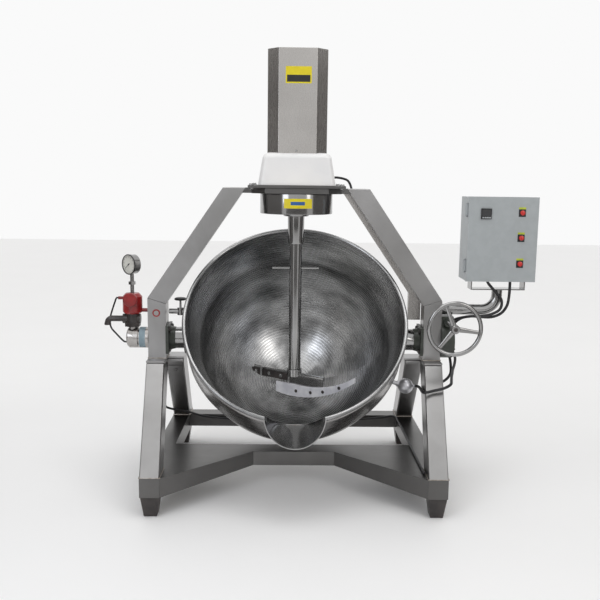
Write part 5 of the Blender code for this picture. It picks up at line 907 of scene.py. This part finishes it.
# %% Handwheel
FLANGE, WORM_CLEAR, WHEEL_HALF, WHEEL_BOSS = 0.006, 0.002, 0.018, 0.00288
GEAR_MIDDLE = COLUMN_OUTSIDE + GAP + FLANGE + WHEEL_HALF + WHEEL_BOSS + WORM_CLEAR
WHEEL, WHEEL_RIM = 0.125, 0.0095
HUB_CENTRE = np.array([GEAR_MIDDLE, -0.2, TRUNNION_HEIGHT + 0.09])
RIM_MIDDLE = WHEEL - WHEEL_RIM
rim_profile = arc((RIM_MIDDLE, 0), WHEEL_RIM, 0, 360, 33)[:-1]
hub_side = [(0.0098, 0.02), (0.0175, 0.02), (0.02, 0.0165)]
hub_profile = hub_side + [(r, -h) for r, h in hub_side[::-1]]
nut_profile = [(0, 0.0225), (0.006, 0.0225), (0.0095, 0.0205), (0.0095, 0.018), (0, 0.018)]
for part, profile, finish_of, slot, steps, stands_for in (
    ("rim", rim_profile, BUFFED, "polished_stainless", 144, ["handwheel"]),
    ("hub", hub_profile, BUFFED, "polished_stainless", 72, []),
    ("nut", nut_profile, DARK_CAST, "dark_cast", 6, []),
):
    round_piece("handwheel_" + part, profile, finish_of, "handwheel", axis=(0, -1, 0),
                start=HUB_CENTRE, steps=steps, stands_for=stands_for)

SPOKE_FROM, SPOKE_FLARE = 0.017, 2 * MM
SPOKE_WIDE, SPOKE_DEEP = (12.2 * MM, 7 * MM), (5.5 * MM, 4 * MM)  # half sizes at hub and rim


def spoke(name, angle):
    """A bar of oval section that tapers from hub to rim: half width w(r), half depth d(r)."""
    r = np.linspace(SPOKE_FROM, RIM_MIDDLE - WHEEL_RIM * 0.6, 14)
    share = (r - r[0]) / (r[-1] - r[0])
    wide = SPOKE_WIDE[0] + (SPOKE_WIDE[1] - SPOKE_WIDE[0]) * share + SPOKE_FLARE * share**6
    deep = SPOKE_DEEP[0] + (SPOKE_DEEP[1] - SPOKE_DEEP[0]) * share
    a = np.arange(24) / 24 * math.tau
    x = np.broadcast_to(r[:, None], (14, 24))
    points = np.stack([x, deep[:, None] * np.sin(a), wide[:, None] * np.cos(a)], -1)
    turned = points @ np.array(Matrix.Rotation(-angle, 3, "Y")).T
    shape = capped(grid_shape(on_machine(turned + HUB_CENTRE), (False, True)))
    dress(mesh_of(name, shape), BUFFED_PLAIN, "handwheel")


FIRST_SPOKE = 112
for number in range(3):
    spoke(f"handwheel_spoke_{number + 1}", math.radians(FIRST_SPOKE + 120 * number))

# %% [markdown]
# ## Control box
#
# A powder coated steel box on a bent pipe. Its door carries a temperature controller and three
# red buttons, each under a plain strip. The box and the door keep their own solids.

# %% Box, door, pipe and duct
solid("control_box", BOX_GREY, 1.2 * MM)
solid("box_door", BOX_GREY, 0.8 * MM)
solid("box_support", BUFFED_PLAIN, 0.8 * MM)
solid("cable_duct", BRUSHED, 1.2 * MM)


def plate(name, low, high, finish_of, body, edge):
    """A thin slab between two corners, with soft edges."""
    low, high = np.array(low, float), np.array(high, float)
    shape = bmesh.new()
    bmesh.ops.create_cube(shape, size=1)
    shape.transform(Matrix.Translation((low + high) / 2 + MACHINE) @ Matrix.Diagonal((*(high - low), 1)))
    return dress(mesh_of(name, shape), finish_of, body, edge)


DOOR_FACE = -0.07
low, high = from_machine("controller")
bezel = 5 * MM
solid("controller", BLACK, 0.8 * MM)
inside = low[1] + 0.2 * MM
plate("controller_screen", (low[0] + bezel, low[1] - 0.4 * MM, low[2] + 2.8 * bezel),
      (high[0] - bezel, inside, high[2] - bezel), SCREEN, "door", 0.1 * MM)
for key in range(4):
    x = low[0] + bezel * 1.2 + key * bezel * 2
    plate(f"controller_key_{key + 1}", (x, low[1] - 0.8 * MM, low[2] + bezel * 0.8),
          (x + bezel * 1.6, inside, low[2] + bezel * 2), BOX_GREY, "door", 0.3 * MM)

BUTTON = 11 * MM
HOLDER = 16 * MM
STRIP = 9 * MM
CROWN = [(0, -0.6 * MM), (BUTTON * 0.7, -0.2 * MM), (BUTTON * 0.93, 0.6 * MM), (BUTTON, 2 * MM)]
BUTTON_RING = [(0.4, -4.2), (3.6, -3.6), (4.4, -2.2), (3.6, -0.5), (0.4, -0.5)]  # mm off the cap
for number in (1, 2, 3):
    low, high = from_machine(f"push_button_{number}")
    x, z = (low[0] + high[0]) / 2, (low[2] + high[2]) / 2
    cap = [*CROWN, (BUTTON, high[1] - low[1]), (0, high[1] - low[1])]
    round_piece(f"button_{number}_cap", cap, BUTTON_RED, f"button_{number}",
                axis=(0, 1, 0), start=(x, low[1], z), steps=64, stands_for=[f"push_button_{number}"])
    ring = [(BUTTON + r * MM, h * MM) for r, h in BUTTON_RING]
    round_piece(f"button_{number}_ring", ring, BLACK, "door",
                axis=(0, 1, 0), start=(x, DOOR_FACE, z), steps=64)
    for part, out, under, over, finish_of, slot in (
        ("shield", 0.4 * MM, -HOLDER - 2 * MM, HOLDER, BLACK, "black_plastic"),
        ("strip", 0.5 * MM, HOLDER + 0.2 * MM, HOLDER + STRIP, LABEL_GREEN, "box_grey"),
    ):
        plate(f"button_{number}_{part}", (x - HOLDER, DOOR_FACE - out, z + under),
              (x + HOLDER, DOOR_FACE + 0.1 * MM, z + over), finish_of, "door", 0.1 * MM)

# %% [markdown]
# ## Steam side
#
# Steam comes in on the left through a turning union, with a pressure gauge and a small red valve
# above it. The gauge keeps its ticks and its needle, and carries no figures.

# %% Union, valve and gauge
UNION_AXIS = (-COLUMN_OUTSIDE, 0, TRUNNION_HEIGHT)
solid("rotary_union", BRUSHED, 0.8 * MM)
ring = [(0.0455, 0.014), (0.0485, 0.014), (0.0485, 0.042), (0.0455, 0.042)]
round_piece("union_ring", ring[::-1], RING_BLUE, "frame",
            axis=(-1, 0, 0), start=UNION_AXIS, steps=96)
solid("steam_block", DARK_CAST, 1 * MM)
solid("steam_valve", RED, 1.2 * MM)
solid("steam_valve_wheel", RED, 1 * MM)
solid("vent_valve", BUFFED_PLAIN, 0.6 * MM)
solid("vent_valve_wheel", BLACK, 1 * MM)

GAUGE_TURN = math.radians(-40)
GAUGE_MIDDLE = np.array([-0.755, 0, 1.007])
GAUGE_AXIS = np.array([math.sin(GAUGE_TURN), -math.cos(GAUGE_TURN), 0])
solid("pressure_gauge", BUFFED_PLAIN, 1 * MM)
DIAL_OUT = 0.0172
DIAL, DIAL_THICK = 43.5 * MM, 0.6 * MM
MARK_THICK = 0.4 * MM
SWEEP, NEEDLE = 135, -128
face = GAUGE_MIDDLE + GAUGE_AXIS * DIAL_OUT
dial_profile = [(0, DIAL_THICK), (DIAL, DIAL_THICK), (DIAL, 0), (0, 0)]
bezel_mm = [(42.5, 0.2), (42.5, 3), (44, 4.2), (46.2, 3.6), (47.2, 1.5), (47.2, 0.2)]
round_piece("gauge_dial", dial_profile, DIAL_WHITE, "frame",
            axis=GAUGE_AXIS, start=face, steps=96)
round_piece("gauge_bezel", np.array(bezel_mm) * MM, BLACK, "frame",
            axis=GAUGE_AXIS, start=face, steps=96)


def dial_marks(name, angles, inner, outer, width, out):
    """Flat bars on the dial, each lying along a radius at its angle."""
    across = np.array([-GAUGE_AXIS[1], GAUGE_AXIS[0], 0])
    upwards = np.array([0, 0, 1.0])
    whole = bmesh.new()
    for angle in angles:
        radial = across * math.sin(angle) + upwards * math.cos(angle)
        beside = across * math.cos(angle) - upwards * math.sin(angle)
        corners = []
        for depth in (0.0, MARK_THICK):
            for r, s in ((inner, -1), (inner, 1), (outer, 1), (outer, -1)):
                place = face + radial * r + beside * s * width / 2 + GAUGE_AXIS * (out + depth)
                corners.append(whole.verts.new(on_machine(place)))
        walls = [(i, (i + 1) % 4, (i + 1) % 4 + 4, i + 4) for i in range(4)]
        for ids in ((0, 1, 2, 3), (4, 5, 6, 7), *walls):
            whole.faces.new([corners[i] for i in ids])
    return dress(mesh_of(name, whole), BLACK, "frame")


for name, degrees, inner, outer, width, out in (
    ("gauge_long_marks", np.linspace(-SWEEP, SWEEP, 11), 31, 39, 1.4, 0.4),
    ("gauge_short_marks", np.linspace(-SWEEP, SWEEP, 51), 35.5, 39, 0.6, 0.4),
    ("gauge_needle", [NEEDLE], -9, 33, 2.2, 1.2),
):
    dial_marks(name, np.radians(degrees), inner * MM, outer * MM, width * MM, out * MM)
boss_profile = [(0, 3 * MM), (3.5 * MM, 3 * MM), (3.5 * MM, DIAL_THICK), (0, DIAL_THICK)]
round_piece("gauge_needle_boss", boss_profile, BLACK, "frame",
            axis=GAUGE_AXIS, start=face, steps=32)

# %% [markdown]
# ## Probe and small plates
#
# A ball on the kettle's front holds the temperature probe. The two plates on the machine stay
# without words or marks: only their colours are kept.

# %% Probe, plates and plugs
solid("probe_head", SATIN_BALL, 0.5 * MM)

HOOD_FACE = from_machine("motor_hood")[0][1]
for name, near, far, x, z, finish_of, edge in (
    ("hood_plate", 0.2, 0.6, (-0.053, 0.059), (1.811, 1.882), PLATE_YELLOW, 0.2),
    ("hood_plate_field", -0.3, 0.9, (-0.047, 0.053), (1.817, 1.846), PLATE_BLACK, 0.1),
):
    plate(name, (x[0], HOOD_FACE - far * MM, z[0]), (x[1], HOOD_FACE + near * MM, z[1]),
          finish_of, "frame", edge * MM)


def drum_plate(name, first_x, last_x, low_z, high_z, out, finish_of):
    """A patch bent round the drum: (R sin a, -R cos a, z) with R the drum's radius and a little more."""
    a = np.linspace(math.asin(first_x / DRUM), math.asin(last_x / DRUM), 25)
    near, far = DRUM + 0.1 * MM, DRUM + out
    rings = []
    for radius, z in ((near, low_z), (far, low_z), (far, high_z), (near, high_z)):
        rings.append(np.stack([radius * np.sin(a), -radius * np.cos(a), np.full(25, z)], 1))
    shape = capped(grid_shape(on_machine(np.array(rings)), (True, False)))
    dress(mesh_of(name, shape), finish_of, "frame")


drum_plate("drum_plate", -0.055, 0.067, 1.277, 1.319, 0.6 * MM, PLATE_YELLOW)
drum_plate("drum_plate_field", -0.026, 0.036, 1.291, 1.306, 0.9 * MM, PLATE_BLUE)
SCREW = [(0, 3), (3, 2.8), (4.5, 1.8), (5, 0.4), (0, 0.4)]
PLUG = [(0, 1.2), (11.5, 1.2), (11.5, 0.2), (0, 0.2)]
PLUG_RING = [(11.8, 0.2), (11.8, 1.8), (17.5, 1.4), (18, 0.2)]
plug_place = (-0.639, -TUBE / 2, 0.787)
for name, profile_mm, finish_of, slot, place, steps in (
    ("hood_screw", SCREW, BUFFED_PLAIN, "polished_stainless", (-0.004, HOOD_FACE, 1.527), 32),
    ("column_plug", PLUG, SATIN, "satin_stainless", plug_place, 48),
    ("column_plug_ring", PLUG_RING, RED, "red_paint", plug_place, 48),
):
    round_piece(name, np.array(profile_mm) * MM, finish_of, "frame", axis=(0, -1, 0),
                start=place, steps=steps)

# %% [markdown]
# ## Light
#
# The machine stands on a pale floor. Large soft lamps take the place of a bright workshop. Grey
# cloth in front and on each side, out of view, gives the buffed steel its dark bands.

# %% Floor, lamps and surroundings
def studio():
    """White for every ray that shows it, and a soft two-tone sky for the light that it sheds."""
    world = bpy.data.worlds.new("studio")
    world.use_nodes = True
    bpy.context.scene.world = world
    tree = world.node_tree
    where = tree.nodes.new("ShaderNodeTexCoord")
    parts = put(tree, "ShaderNodeSeparateXYZ", {"Vector": where.outputs["Generated"]})
    ramp = put(tree, "ShaderNodeValToRGB", {"Fac": parts.outputs["Z"]})
    ramp.color_ramp.elements[0].color = linear("#e4e2e0")
    ramp.color_ramp.elements[1].color = linear("#ffffff")
    rays = tree.nodes.new("ShaderNodeLightPath").outputs
    seen = rays["Is Camera Ray"]
    for kind in ("Is Glossy Ray", "Is Transmission Ray"):
        both = {0: seen, 1: rays[kind]}
        seen = put(tree, "ShaderNodeMath", both, operation="ADD", use_clamp=True).outputs[0]
    colour = between(tree, seen, ramp.outputs["Color"], linear("#fafafa"))
    tree.links.new(colour, tree.nodes["Background"].inputs["Color"])


LOOKED_AT = Vector((0, 0, 1))


def lamp(name, place, width, height, power, colour="#ffffff"):
    """A rectangular lamp that looks at the middle of the machine."""
    data = bpy.data.lights.new(name, "AREA")
    data.shape = "RECTANGLE"
    data.size, data.size_y, data.energy = width, height, power
    data.color = linear(colour)[:3]
    made = placed(name, data)
    made.location = place
    made.rotation_euler = (LOOKED_AT - Vector(place)).to_track_quat("-Z", "Y").to_euler()


def sheet(name, corners, finish_of, seen=True):
    """A flat sheet that belongs to the studio; one that isn't seen still shows in the steel."""
    mesh = bpy.data.meshes.new(name)
    mesh.from_pydata(corners, [], [(0, 1, 2, 3)])
    mesh.materials.append(finish_of)
    made = placed(name, mesh)
    made.visible_camera = seen
    made.visible_shadow = seen


studio()
lamp("ceiling", (0, -0.4, 3.7), 2.4, 1.4, 20)
lamp("left_window", (-2.4, -3.4, 2.2), 1.2, 2.0, 22, "#eef4ff")
lamp("right_window", (2.4, -3.2, 2.4), 0.8, 2.0, 14, "#fbf8f4")

FLOOR = 14
sheet("floor", [(x * FLOOR, y * FLOOR, 0) for x, y in ((-1, -1), (1, -1), (1, 1), (-1, 1))],
      coat("pale_matt_floor", "#f4f4f4", "#f3f3f3", 0.6, 60 * MM, 0.01 * MM))
CLOTH = coat("grey_studio_cloth", "#868482", "#7e7c7b", 0.9, 5 * MM, 0.2 * MM)
CLOTH_FOOT = 0.02
for name, first, last, top in (
    ("cloth_front", (-3.5, -5.5), (3.5, -5.5), 0.9),
    ("cloth_left", (-2.7, -2.6), (-2.7, 0.9), 2.6),
    ("cloth_right", (2.7, -2.2), (2.7, 0.9), 2.6),
):
    corners = [(*first, CLOTH_FOOT), (*last, CLOTH_FOOT), (*last, top), (*first, top)]
    sheet(name, corners, CLOTH, seen=False)
